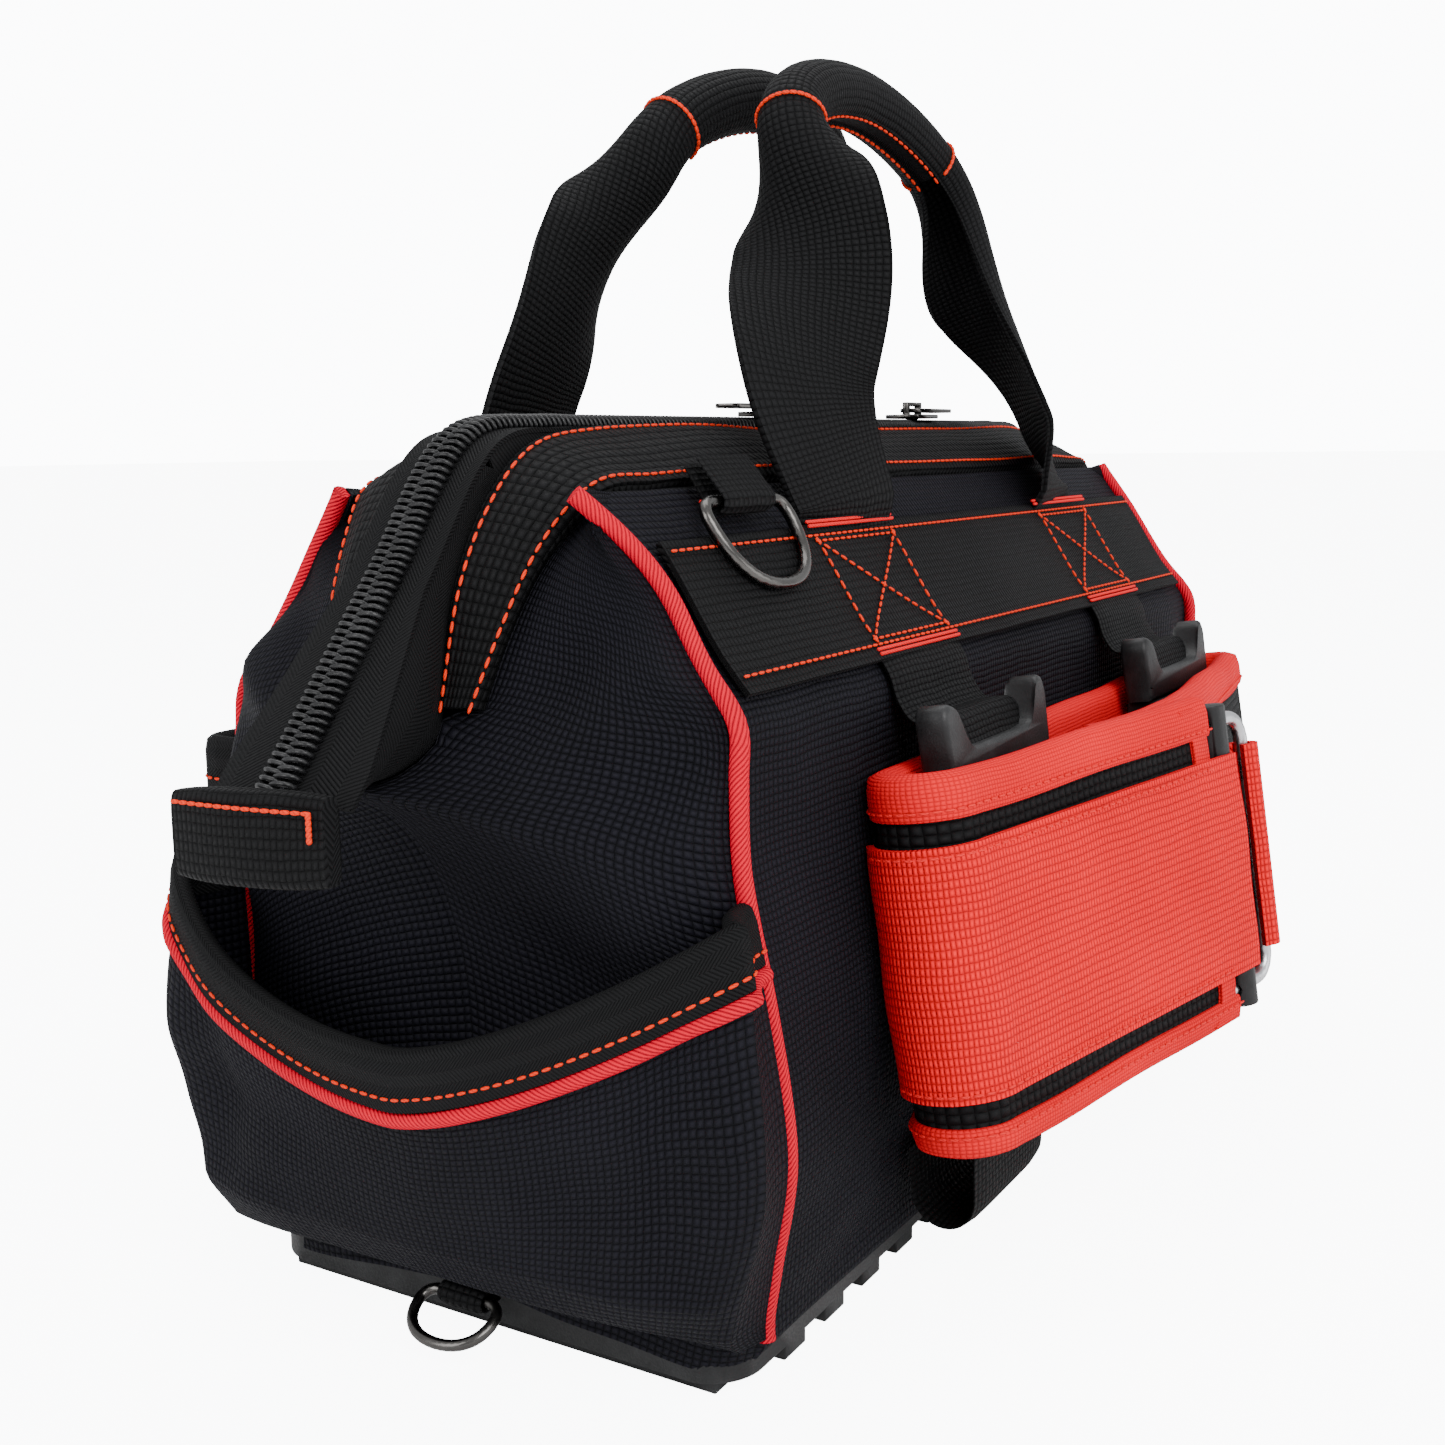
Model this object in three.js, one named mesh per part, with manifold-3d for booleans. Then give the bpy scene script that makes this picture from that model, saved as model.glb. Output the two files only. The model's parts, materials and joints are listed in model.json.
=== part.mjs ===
// Gate-mouth tool bag with a folded padded belt strapped to its front.
// Millimetres, +Z up. X runs along the bag: "near" is the -X end and "far" is the +X end.
// "front" is the -Y side, which carries the belt, and "rear" is the +Y side.
// The origin is the middle of the base, on the surface that the bag stands on.

import * as THREE from 'three';
import { mergeVertices } from 'three/addons/utils/BufferGeometryUtils.js';
import Module from 'manifold-3d';

const wasm = await Module();
wasm.setup();

// ---------------------------------------------------------------- driving dimensions

const gap = 0.3;              // between pieces that touch

const bag = {
  length: 362,                // over the two end panels
  depth: 150,                 // front to rear, at the base and at the crease
  belly: 9,                   // how far the front and rear swell between base and crease
  creaseHeight: 160,          // where the upper panels fold outward
  creaseGap: 2,               // each side of the crease
  rimHeight: 213,             // top edge of the upper panels
  rimDepth: 76,               // front to rear between those edges
  cloth: 3,                   // padded fabric
};

const tray = {
  height: 20,
  wall: 3,
  floor: 4,
  corner: 14,
  ribHeight: 3.5,
  ribWidth: 11,
  ribPitch: 21.5,
  boardThickness: 3,
};

const mouth = {
  zipHeight: 227,             // underside of the zip tape along the top
  tongueReach: 60,            // how far the zip runs out past the end panels
  tongueDrop: 77,             // and how far it comes down
  collarThickness: 7,
  rodRadius: 2.5,
  rodClearance: 0.7,
  tapeHalfWidth: 12.4,
  tapeThickness: 1.2,
  coilWidth: 4.2,
  coilHeight: 3.4,
  coilGap: 0.8,               // from the middle of the zip to each coil
  tongueWidening: 8,
  tabWidth: 42,
  tabLength: 26,
  tabThickness: 5,
};

const band = { bottom: 166, top: 200, thickness: 2, endInset: 12 };

const endPocket = {
  reach: 29,                  // how far the pocket bellies out
  flare: 8,                   // wider than the panel behind it on each side
  bottom: 24,
  hemMiddle: 80,
  hemSide: 122,
  wall: 3,
};

const rearPocket = { inset: 17, bottom: 30, top: 142, depth: 24, wall: 3 };

const webbing = { width: 50, thickness: 2.4 };

const handle = {
  anchors: [-74, 91],         // middle of each leg on the front band
  hingeY: 54,
  hingeHeight: 200,
  footGap: 3,                 // from the hinge line up to the free webbing
  gripRadius: 10.5,
  gripLength: 98,
  gripMiddle: 8,
  gripHeight: 330,
  gripDrops: [11, 17],        // how far the grip's near and far ends hang below its middle
  gripY: 13,
  coreWidth: 15,
};

const shoulderRing = { x: 127, width: 40, drop: 24, wire: 1.8, loopWidth: 25, standOff: 6 };
const baseRing = { width: 24, drop: 14, wire: 1.6, loopWidth: 14, reach: 6, height: 12, fall: 0.5 };

const slider = {
  xs: [-26, 80],
  length: 18,
  width: 13,
  plate: 1.5,
  clearance: 0.4,
  post: 1.0,
  bridgeHeight: 3,
  bridgePost: 2,
  bridgeWidth: 2.4,
  bridgeHalf: 5,
  pullLength: 30,
  pullWidth: 9,
  pullThickness: 1.4,
};

const belt = {
  height: 95,                 // of the padded belt, lying on its edge
  thickness: 6,
  lean: 0.148,                // radians, foot outward
  standOff: 10,               // from the flat front to the back of the roll
  hang: 67,                   // from the bag's crease down to the belt's middle height
  nearFold: -112,
  farFold: 140,
  foldEase: 0.5,              // how much tighter the far fold is than the near one
  outerEnd: -4,               // along the bag
  outerSpread: 27,            // how far the front layer fans out from its fold to its end
  layerGap: 0.5,
  innerBend: 0,
  innerEnd: -45,
  innerSpread: 11.5,
  webHeight: 68,
  webThickness: 2.4,
};

const adjuster = {
  wire: 2.3,
  height: 80,                 // between the two long wires
  reach: 17,                  // from the slide bar to the closed side of the frame
  stub: 7,                    // the wires' free ends past the middle of the bar
  barRadius: 5,
  travel: 6,
  strapEase: 2,               // between the bar at its limit and the strap's folded end
  strapHeight: 62,
};

const buckle = {
  width: 62,
  shoulderWidth: 70,
  thickness: 10,
  top: 62,                    // heights along the leaning belt
  split: 41.5,
  bottom: 0,
  strapSpace: 4,              // between the belt's rear layer and the buckle, for the lower strap
  earStandOut: 1,
  wall: 4,
  slotWidth: 52,
  slotHeight: 4,
  crossbarTop: 50,
  windowLow: 12,
  windowHigh: 33.5,
  prongInner: 16,
  prongOuter: 25,
  prongThickness: 6.4,
  neckHalf: 1.2,
  neckLength: 5,
  headLow: 14,
  headHigh: 25,
  headOut: 30,
  tongueWidth: 12,
};

const halfLength = bag.length / 2;
const halfDepth = bag.depth / 2;
const beltMiddle = bag.creaseHeight - belt.hang;

// The belt folds round its buckles, so its folds take their size from them.
const buckleRear = -(belt.thickness + buckle.strapSpace);
const buckleFront = buckleRear - buckle.thickness;
const buckleMiddle = (buckleRear + buckleFront) / 2;
const nearFoldRadius = (buckle.earStandOut - buckleFront) / 2;
const farFoldRadius = nearFoldRadius - belt.foldEase;
const outerEndY = -(belt.thickness / 2 + 2 * nearFoldRadius + belt.outerSpread);
const innerBendY = outerEndY + belt.thickness + belt.layerGap;
const innerEndY = innerBendY + belt.innerSpread;

// ---------------------------------------------------------------- materials

function material(color, roughness, metalness = 0) {
  return new THREE.MeshStandardMaterial({ color, roughness, metalness });
}

const fabric = material(0x1c1d22, 0.85);
const webbingBlack = material(0x141416, 0.8);
const redCloth = material(0xd81e22, 0.75);
const mouldedBlack = material(0x18181a, 0.5);
const gunmetal = material(0x6a6c70, 0.3, 1);
const steel = material(0x8a8c90, 0.35, 1);
const board = material(0x2a2826, 0.9);

// ---------------------------------------------------------------- shape helpers

const group = new THREE.Group();

function add(name, geometry, look, parent = group) {
  const mesh = new THREE.Mesh(geometry, look);
  mesh.name = name;
  parent.add(mesh);
  return mesh;
}

const vec2 = (x, y) => new THREE.Vector2(x, y);
const vec3 = (x, y, z) => new THREE.Vector3(x, y, z);
const mix = THREE.MathUtils.lerp;

// Turns a profile drawn in X and Y, and extruded along Z, so that it is drawn in Y and Z and runs along X.
const acrossX = new THREE.Matrix4().makeBasis(vec3(0, 1, 0), vec3(0, 0, 1), vec3(1, 0, 0));

function signedVolume(geometry) {
  const position = geometry.attributes.position;
  const index = geometry.index;
  const a = vec3(0, 0, 0);
  const b = vec3(0, 0, 0);
  const c = vec3(0, 0, 0);
  let total = 0;
  for (let i = 0; i < index.count; i += 3) {
    a.fromBufferAttribute(position, index.getX(i));
    b.fromBufferAttribute(position, index.getX(i + 1));
    c.fromBufferAttribute(position, index.getX(i + 2));
    total += a.dot(b.cross(c)) / 6;
  }
  return total;
}

// Merges shared vertices and turns the faces outward.
function closed(geometry) {
  geometry.deleteAttribute('normal');
  geometry.deleteAttribute('uv');
  const merged = mergeVertices(geometry, 1e-4);
  if (signedVolume(merged) < 0) {
    const index = merged.index;
    for (let i = 0; i < index.count; i += 3) {
      const first = index.getX(i);
      index.setX(i, index.getX(i + 1));
      index.setX(i + 1, first);
    }
  }
  return merged;
}

// A unit box cut into cells, each corner moved to place(u, v, w).
function loft(cellsU, cellsV, cellsW, place) {
  const box = new THREE.BoxGeometry(1, 1, 1, cellsU, cellsV, cellsW).translate(0.5, 0.5, 0.5);
  const position = box.attributes.position;
  for (let i = 0; i < position.count; i += 1) {
    const point = place(position.getX(i), position.getY(i), position.getZ(i));
    position.setXYZ(i, point.x, point.y, point.z);
  }
  return closed(box);
}

function block(from, to) {
  const place = (u, v, w) => vec3(mix(from[0], to[0], u), mix(from[1], to[1], v), mix(from[2], to[2], w));
  return loft(1, 1, 1, place);
}

function extrude(shape, from, to, matrix = new THREE.Matrix4()) {
  const solid = new THREE.ExtrudeGeometry(shape, { depth: to - from, bevelEnabled: false, curveSegments: 6 });
  return closed(solid.translate(0, 0, from).applyMatrix4(matrix));
}

function roundedRectangle(width, height, radius) {
  const x = width / 2 - radius;
  const y = height / 2 - radius;
  const shape = new THREE.Shape();
  shape.absarc(x, y, radius, 0, Math.PI / 2);
  shape.absarc(-x, y, radius, Math.PI / 2, Math.PI);
  shape.absarc(-x, -y, radius, Math.PI, 1.5 * Math.PI);
  shape.absarc(x, -y, radius, 1.5 * Math.PI, 2 * Math.PI);
  return shape;
}

// The outline of a strip of even thickness that follows a path.
function stripOutline(points, thickness) {
  const left = [];
  const right = [];
  points.forEach((point, i) => {
    const before = points[Math.max(i - 1, 0)];
    const after = points[Math.min(i + 1, points.length - 1)];
    const into = point.clone().sub(before).normalize();
    const outof = after.clone().sub(point).normalize();
    const along = into.add(outof).normalize();
    const across = vec2(-along.y, along.x).multiplyScalar(thickness / 2);
    left.push(point.clone().add(across));
    right.unshift(point.clone().sub(across));
  });
  return new THREE.Shape(left.concat(right));
}

// A round wire along a closed flat path, drawn in X and Y.
function wireLoop(path, radius, steps, sides = 8) {
  const torus = new THREE.TorusGeometry(1, 0.2, sides, steps);
  const position = torus.attributes.position;
  const uv = torus.attributes.uv;
  for (let i = 0; i < position.count; i += 1) {
    const at = uv.getX(i) % 1;
    const turn = uv.getY(i) * 2 * Math.PI;
    const centre = path.getPointAt(at);
    const tangent = path.getTangentAt(at);
    const out = radius * Math.cos(turn);
    position.setXYZ(i, centre.x + tangent.y * out, centre.y - tangent.x * out, radius * Math.sin(turn));
  }
  return closed(torus);
}

// A round bar along a curve in space.
function roundBar(curve, radius, steps, sides = 8) {
  const section = new THREE.Shape();
  section.absarc(0, 0, radius, 0, 2 * Math.PI);
  const options = { steps, extrudePath: curve, curveSegments: sides / 2, bevelEnabled: false };
  return closed(new THREE.ExtrudeGeometry(section, options));
}

function toManifold(geometry) {
  const vertProperties = new Float32Array(geometry.attributes.position.array);
  const triVerts = new Uint32Array(geometry.index.array);
  return new wasm.Manifold(new wasm.Mesh({ numProp: 3, vertProperties, triVerts }));
}

function fromManifold(solid) {
  const mesh = solid.getMesh();
  const geometry = new THREE.BufferGeometry();
  geometry.setAttribute('position', new THREE.BufferAttribute(new Float32Array(mesh.vertProperties), 3));
  geometry.setIndex(new THREE.BufferAttribute(new Uint32Array(mesh.triVerts), 1));
  return geometry;
}

function join(...pieces) {
  return fromManifold(pieces.map(toManifold).reduce((sum, piece) => sum.add(piece)));
}

function cut(piece, ...tools) {
  return fromManifold(tools.map(toManifold).reduce((rest, tool) => rest.subtract(tool), toManifold(piece)));
}

// The pieces that come once at each end or on each side.
const ends = [{ name: 'near', x: -1 }, { name: 'far', x: 1 }];
const sides = [{ name: 'front', y: -1 }, { name: 'rear', y: 1 }];

// ---------------------------------------------------------------- side profiles
// Each profile gives (distance from the middle plane, height) of the fabric's outer face.

const lowerTop = bag.creaseHeight - bag.creaseGap;
const lowerRise = lowerTop - tray.height;
const lowerSide = new THREE.SplineCurve([
  vec2(halfDepth, tray.height + gap),
  vec2(halfDepth + 0.9 * bag.belly, tray.height + 0.28 * lowerRise),
  vec2(halfDepth + 0.6 * bag.belly, tray.height + 0.55 * lowerRise),
  vec2(halfDepth + 0.1 * bag.belly, tray.height + 0.8 * lowerRise),
  vec2(halfDepth, lowerTop),
]);

const upperBottom = bag.creaseHeight + bag.creaseGap;
const rimHalf = bag.rimDepth / 2;
const upperSide = new THREE.SplineCurve([
  vec2(halfDepth - 1, upperBottom),
  vec2(mix(halfDepth, rimHalf, 0.28), mix(upperBottom, bag.rimHeight, 0.25)),
  vec2(mix(halfDepth, rimHalf, 0.66), mix(upperBottom, bag.rimHeight, 0.68)),
  vec2(rimHalf, bag.rimHeight),
]);

// A point of a side profile, moved outward along its normal.
function offProfile(profile, at, outward) {
  const point = profile.getPoint(at);
  const tangent = profile.getTangent(at);
  return vec2(point.x + tangent.y * outward, point.y - tangent.x * outward);
}

// The place along a profile, from 0 to 1, where it reaches a height.
function profileAt(profile, height) {
  let low = 0;
  let high = 1;
  for (let i = 0; i < 30; i += 1) {
    const middle = (low + high) / 2;
    if (profile.getPoint(middle).y < height) low = middle;
    else high = middle;
  }
  return (low + high) / 2;
}

// A sheet that follows a side profile between two places on it, from one offset to another.
function profileSheet(profile, side, halfWidth, span, offsets, cells) {
  return loft(1, cells, 1, (u, v, w) => {
    const point = offProfile(profile, mix(span[0], span[1], v), mix(offsets[0], offsets[1], w));
    return vec3(mix(-halfWidth, halfWidth, u), side * point.x, point.y);
  });
}

// ---------------------------------------------------------------- base

function baseTray() {
  const outline = roundedRectangle(bag.length, bag.depth, tray.corner);
  const inside = roundedRectangle(
    bag.length - 2 * tray.wall,
    bag.depth - 2 * tray.wall,
    tray.corner - tray.wall,
  );
  const floorTop = tray.ribHeight + tray.floor;
  const shell = cut(
    extrude(outline, tray.ribHeight, tray.height),
    extrude(inside, floorTop, tray.height + 1),
  );
  const ribs = [];
  const count = Math.floor((halfLength - tray.ribWidth / 2 - tray.wall) / tray.ribPitch);
  for (let i = -count; i <= count; i += 1) {
    const x = i * tray.ribPitch;
    const edge = halfDepth - (Math.abs(i) === count ? tray.corner / 2 : 0);
    ribs.push(block([x - tray.ribWidth / 2, -edge, 0], [x + tray.ribWidth / 2, edge, tray.ribHeight + 1]));
  }
  return join(shell, ...ribs);
}

add('base_tray', baseTray(), mouldedBlack);

const boardBottom = tray.ribHeight + tray.floor + gap;
const boardInset = tray.wall + 1.5;
const boardOutline = roundedRectangle(
  bag.length - 2 * boardInset,
  bag.depth - 2 * boardInset,
  tray.corner - tray.wall,
);
add('base_board', extrude(boardOutline, boardBottom, boardBottom + tray.boardThickness), board);

// ---------------------------------------------------------------- lower panels

const panelHalf = halfLength - bag.cloth - gap;

for (const side of sides) {
  const sheet = profileSheet(lowerSide, side.y, panelHalf, [0, 1], [-bag.cloth, 0], 8);
  add(`${side.name}_lower_panel`, sheet, fabric);
}

function endPanelShape() {
  const steps = 8;
  const right = [];
  for (let i = 0; i <= steps; i += 1) right.push(lowerSide.getPoint(i / steps));
  const left = right.map((point) => vec2(-point.x, point.y)).reverse();
  return new THREE.Shape(right.concat(left));
}

for (const end of ends) {
  const inner = end.x * (halfLength - bag.cloth);
  const outer = end.x * halfLength;
  const panel = extrude(endPanelShape(), Math.min(inner, outer), Math.max(inner, outer), acrossX);
  add(`${end.name}_end_panel`, panel, fabric);
}

// ---------------------------------------------------------------- end pockets

// Outline of the pocket seen from above: a rounded belly from one corner of the bag to the other.
function bellyPoint(turn, halfWidth, reach) {
  return vec2(-reach * Math.abs(Math.cos(turn)) ** 0.7, halfWidth * Math.sin(turn));
}

function endPocketSolid(end) {
  const halfWidth = (height) => {
    const at = profileAt(lowerSide, height);
    return lowerSide.getPoint(at).x + endPocket.flare;
  };
  const wall = loft(20, 5, 1, (u, v, w) => {
    const turn = mix(-Math.PI / 2, Math.PI / 2, u);
    const across = Math.sin(turn);
    const hem = mix(endPocket.hemMiddle, endPocket.hemSide, across * across);
    const height = mix(endPocket.bottom, hem, v);
    const inset = endPocket.wall * w;
    const point = bellyPoint(turn, halfWidth(height) - inset, endPocket.reach - inset);
    return vec3(end.x * (halfLength + gap - point.x), point.y, height);
  });
  const outline = new THREE.Shape();
  const floorHalf = halfWidth(endPocket.bottom) - endPocket.wall / 2;
  for (let i = 0; i <= 20; i += 1) {
    const turn = mix(-Math.PI / 2, Math.PI / 2, i / 20);
    const point = bellyPoint(turn, floorHalf, endPocket.reach - endPocket.wall / 2);
    const x = end.x * (halfLength + gap - point.x);
    if (i === 0) outline.moveTo(x, point.y);
    else outline.lineTo(x, point.y);
  }
  const floor = extrude(outline, endPocket.bottom, endPocket.bottom + endPocket.wall);
  return join(wall, floor);
}

for (const end of ends) add(`${end.name}_pocket`, endPocketSolid(end), fabric);

// ---------------------------------------------------------------- rear pocket

function rearPocketSolid() {
  const x = halfLength - rearPocket.inset;
  const inner = halfDepth + bag.belly + gap;
  const outer = inner + rearPocket.depth;
  const round = 6;
  const path = new THREE.Path();
  path.moveTo(-x, inner);
  path.lineTo(-x, outer - round);
  path.absarc(-x + round, outer - round, round, Math.PI, Math.PI / 2, true);
  path.lineTo(x - round, outer);
  path.absarc(x - round, outer - round, round, Math.PI / 2, 0, true);
  path.lineTo(x, inner);
  const section = stripOutline(distinct(path.getPoints(4)), rearPocket.wall);
  const wall = extrude(section, rearPocket.bottom, rearPocket.top);
  const floor = block([-x, inner, rearPocket.bottom], [x, outer - 1, rearPocket.bottom + rearPocket.wall]);
  return join(wall, floor);
}

// Drops points that repeat the one before them.
function distinct(points) {
  return points.filter((point, i) => i === 0 || point.distanceTo(points[i - 1]) > 0.01);
}

add('rear_pocket', rearPocketSolid(), fabric);

// ---------------------------------------------------------------- mouth: upper panels and bands

for (const side of sides) {
  const sheet = profileSheet(upperSide, side.y, panelHalf, [0, 1], [-bag.cloth, 0], 6);
  add(`${side.name}_upper_panel`, sheet, fabric);
  const span = [profileAt(upperSide, band.bottom), profileAt(upperSide, band.top)];
  const layer = [gap, gap + band.thickness];
  const strip = profileSheet(upperSide, side.y, halfLength - band.endInset, span, layer, 4);
  add(`${side.name}_band`, strip, webbingBlack);
}

// ---------------------------------------------------------------- mouth: zip, collars and frame rods

// Half of a line along the mouth, from its middle out over the end, as points (past the end panel, y, z).
// The other half mirrors it.
function mouthCurve(halfPoints, side) {
  const far = halfPoints.map(([past, y, z]) => vec3(halfLength + past, side * y, z));
  const near = far.map((point) => vec3(-point.x, point.y, point.z)).reverse();
  return new THREE.CatmullRomCurve3(near.concat(far), false, 'centripetal');
}

const top = mouth.zipHeight;

// The tongue's shape, as shares of its reach and of its drop.
const tongueShape = [[-0.07, 0.04], [0.37, 0.43], [0.78, 0.805], [1, 1]];

const zipLine = [
  [-120, 0, top],
  [-50, 0, top],
  [-31, 0, top],
  ...tongueShape.map(([out, down]) => [out * mouth.tongueReach, 0, top - down * mouth.tongueDrop]),
];

const collarOuter = [
  [-120, rimHalf - 1, bag.rimHeight + 3],
  [-36, rimHalf - 1, bag.rimHeight + 3],
  [-10, rimHalf - 2, bag.rimHeight + 1],
  [4, rimHalf - 7, bag.rimHeight - 12],
  [14, rimHalf - 11, bag.rimHeight - 29],
  [22, rimHalf - 15, bag.creaseHeight + 6],
];

const collarInnerY = mouth.tapeHalfWidth + 1.8;
const collarInner = [
  [-120, collarInnerY, top + 2],
  [-36, collarInnerY, top + 2],
  [-10, collarInnerY, top - 3],
  [6, collarInnerY, top - 16],
  [17, collarInnerY, top - 34],
  [24, collarInnerY, bag.creaseHeight + 6],
];

// The point between the collar's two edges, and how its face looks outward there.
function collarFrame(side, at, across) {
  const outer = mouthCurve(collarOuter, side).getPoint(at);
  const inner = mouthCurve(collarInner, side).getPoint(at);
  const ahead = mouthCurve(collarInner, side).getTangent(at);
  const facing = ahead.clone().cross(inner.clone().sub(outer)).normalize().multiplyScalar(-side);
  return { point: outer.lerp(inner, across), facing };
}

const collarCells = 34;

function collarSolid(side) {
  const sleeve = loft(collarCells, 2, 1, (u, v, w) => {
    const { point, facing } = collarFrame(side, u, v);
    return point.addScaledVector(facing, -mouth.collarThickness * w);
  });
  return sleeve;
}

// The middle of the sleeve, run on past both its ends, or stopped short of them if overrun is negative.
function rodCurve(side, overrun) {
  const points = [];
  for (let i = 0; i <= collarCells; i += 1) {
    const { point, facing } = collarFrame(side, i / collarCells, 0.5);
    points.push(point.addScaledVector(facing, -mouth.collarThickness / 2));
  }
  for (const [last, before] of [[points[0], points[1]], [points.at(-1), points.at(-2)]]) {
    last.addScaledVector(last.clone().sub(before).normalize(), overrun);
  }
  return new THREE.CatmullRomCurve3(points);
}

// Half of the zip: a coil beside the middle line, standing on a tape that widens over the tongue.
function zipHalf(side) {
  const line = mouthCurve(zipLine, 1);
  const coilEdge = mouth.coilGap + mouth.coilWidth;
  const section = [
    { y: mouth.coilGap, top: mouth.tapeThickness + mouth.coilHeight },
    { y: coilEdge, top: mouth.tapeThickness + mouth.coilHeight },
    { y: coilEdge + 0.2, top: mouth.tapeThickness },
    { y: mouth.tapeHalfWidth, top: mouth.tapeThickness },
  ];
  return loft(collarCells, section.length - 1, 1, (u, v, w) => {
    const point = line.getPoint(u);
    const tangent = line.getTangent(u);
    const step = section[Math.round(v * (section.length - 1))];
    const past = (Math.abs(point.x) - halfLength - 0.6 * mouth.tongueReach) / (0.4 * mouth.tongueReach);
    const widening = v === 1 ? mouth.tongueWidening * THREE.MathUtils.clamp(past, 0, 1) : 0;
    const lift = w * step.top;
    return vec3(point.x - tangent.z * lift, side * (step.y + widening), point.z + tangent.x * lift);
  });
}

const rodSteps = Math.ceil(bag.length / 7);

for (const side of sides) {
  const channel = roundBar(rodCurve(side.y, 3), mouth.rodRadius + mouth.rodClearance, rodSteps);
  add(`${side.name}_collar`, cut(collarSolid(side.y), channel), webbingBlack);
  add(`${side.name}_frame_rod`, roundBar(rodCurve(side.y, -2), mouth.rodRadius, rodSteps), steel);
  add(`${side.name}_zip`, zipHalf(side.y), webbingBlack);
}

// The tab sewn over each end of the zip, one on each half of the mouth.
const tongueTip = mouth.zipHeight - mouth.tongueDrop;
const tabX = halfLength + mouth.tongueReach + mouth.tapeThickness + mouth.coilHeight + gap;
for (const end of ends) {
  const inner = end.x * tabX;
  const outer = end.x * (tabX + mouth.tabThickness);
  const low = [inner, -mouth.tabWidth / 2, tongueTip - mouth.tabLength + 4];
  const high = [outer, mouth.tabWidth / 2, tongueTip + 4];
  add(`${end.name}_zip_tab`, block(low, high), webbingBlack);
}

// ---------------------------------------------------------------- mouth: end gussets

// Each gusset runs from the corner seam to the collar's leg.
function gussetSolid(way, side) {
  return loft(3, 5, 1, (u, v, w) => {
    const seam = upperSide.getPoint(v);
    const seamPoint = vec3(way * (halfLength - w * bag.cloth), side * seam.x, seam.y);
    const leg = collarFrame(side, mix(0.995, 0.868, v), 0);
    const legPoint = leg.point.addScaledVector(leg.facing, -mouth.collarThickness - gap - w * bag.cloth * 0.8);
    legPoint.x *= way;
    return seamPoint.lerp(legPoint, u * 0.97);
  });
}

for (const end of ends) {
  for (const side of sides) {
    add(`${side.name}_${end.name}_gusset`, gussetSolid(end.x, side.y), fabric);
  }
}

// ---------------------------------------------------------------- sliders and pulls

const sliderBase = mouth.zipHeight - slider.clearance - slider.plate;
const coilTopHeight = mouth.zipHeight + mouth.tapeThickness + mouth.coilHeight;
const plateBottom = coilTopHeight + slider.clearance;
const plateTop = plateBottom + slider.plate;
const pullHeight = plateTop + slider.bridgeHeight / 2;

function sliderBody(x) {
  const halfL = slider.length / 2;
  const halfW = slider.width / 2;
  const halfPost = slider.post / 2;
  const bridgeTop = plateTop + slider.bridgeHeight;
  const halfBridge = slider.bridgeWidth / 2;
  const reachX = slider.bridgeHalf + slider.bridgePost / 2;
  const pieces = [
    block([x - halfL, -halfW, sliderBase], [x + halfL, halfW, sliderBase + slider.plate]),
    block([x - halfL, -halfW, plateBottom], [x + halfL, halfW, plateTop]),
    block([x - 4, -halfPost, sliderBase + 0.5], [x + 4, halfPost, plateBottom + 0.5]),
    block([x - reachX, -halfBridge, bridgeTop], [x + reachX, halfBridge, bridgeTop + 1.4]),
  ];
  for (const way of [-1, 1]) {
    const middle = x + way * slider.bridgeHalf;
    const low = [middle - slider.bridgePost / 2, -halfBridge, plateTop - 0.5];
    pieces.push(block(low, [middle + slider.bridgePost / 2, halfBridge, bridgeTop + 0.5]));
  }
  return join(...pieces);
}

// The pull lies flat along way * X. Its eye goes round one post of the bridge.
function pullTab(x, way) {
  const halfT = slider.pullThickness / 2;
  const halfW = slider.pullWidth / 2;
  const plate = roundedRectangle(slider.pullLength, slider.pullWidth, halfW * 0.6);
  const body = extrude(plate, -halfT, halfT);
  body.translate(slider.pullLength / 2 - 2.6, 0, 0);
  const eye = block([-0.8, -2.3, -2], [7.6, 2.3, 2]);
  const solid = cut(body, eye);
  return closed(solid.scale(way, 1, 1).translate(x, 0, pullHeight));
}

slider.xs.forEach((x, i) => {
  add(`${ends[i].name}_slider`, sliderBody(x), gunmetal);
  add(`${ends[i].name}_pull`, pullTab(x, ends[i].x), gunmetal);
});

// ---------------------------------------------------------------- handles

// The webbing's middle line, from one anchor over the grip to the other.
// The rear handle is the front one turned half a turn about Z.
function handleCurve(side) {
  const [nearX, farX] = handle.anchors;
  const foot = handle.hingeHeight + handle.footGap;
  const half = handle.gripLength / 2;
  const [nearEnd, farEnd] = handle.gripDrops.map((fall) => handle.gripHeight - fall);
  const lean = (z) => {
    const rise = (z - handle.hingeHeight) / (handle.gripHeight - handle.hingeHeight);
    return side * mix(handle.hingeY, handle.gripY, rise);
  };
  const points = [
    [nearX, foot],
    [nearX - 2, foot + 38],
    [handle.gripMiddle - half - 10, nearEnd - 36],
    [handle.gripMiddle - half, nearEnd],
    [handle.gripMiddle, handle.gripHeight],
    [handle.gripMiddle + half, farEnd],
    [handle.gripMiddle + half + 16, farEnd - 32],
    [farX - 2, foot + 38],
    [farX, foot],
  ];
  return new THREE.CatmullRomCurve3(points.map(([x, z]) => vec3(-side * x, lean(z), z)), false, 'centripetal');
}

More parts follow.
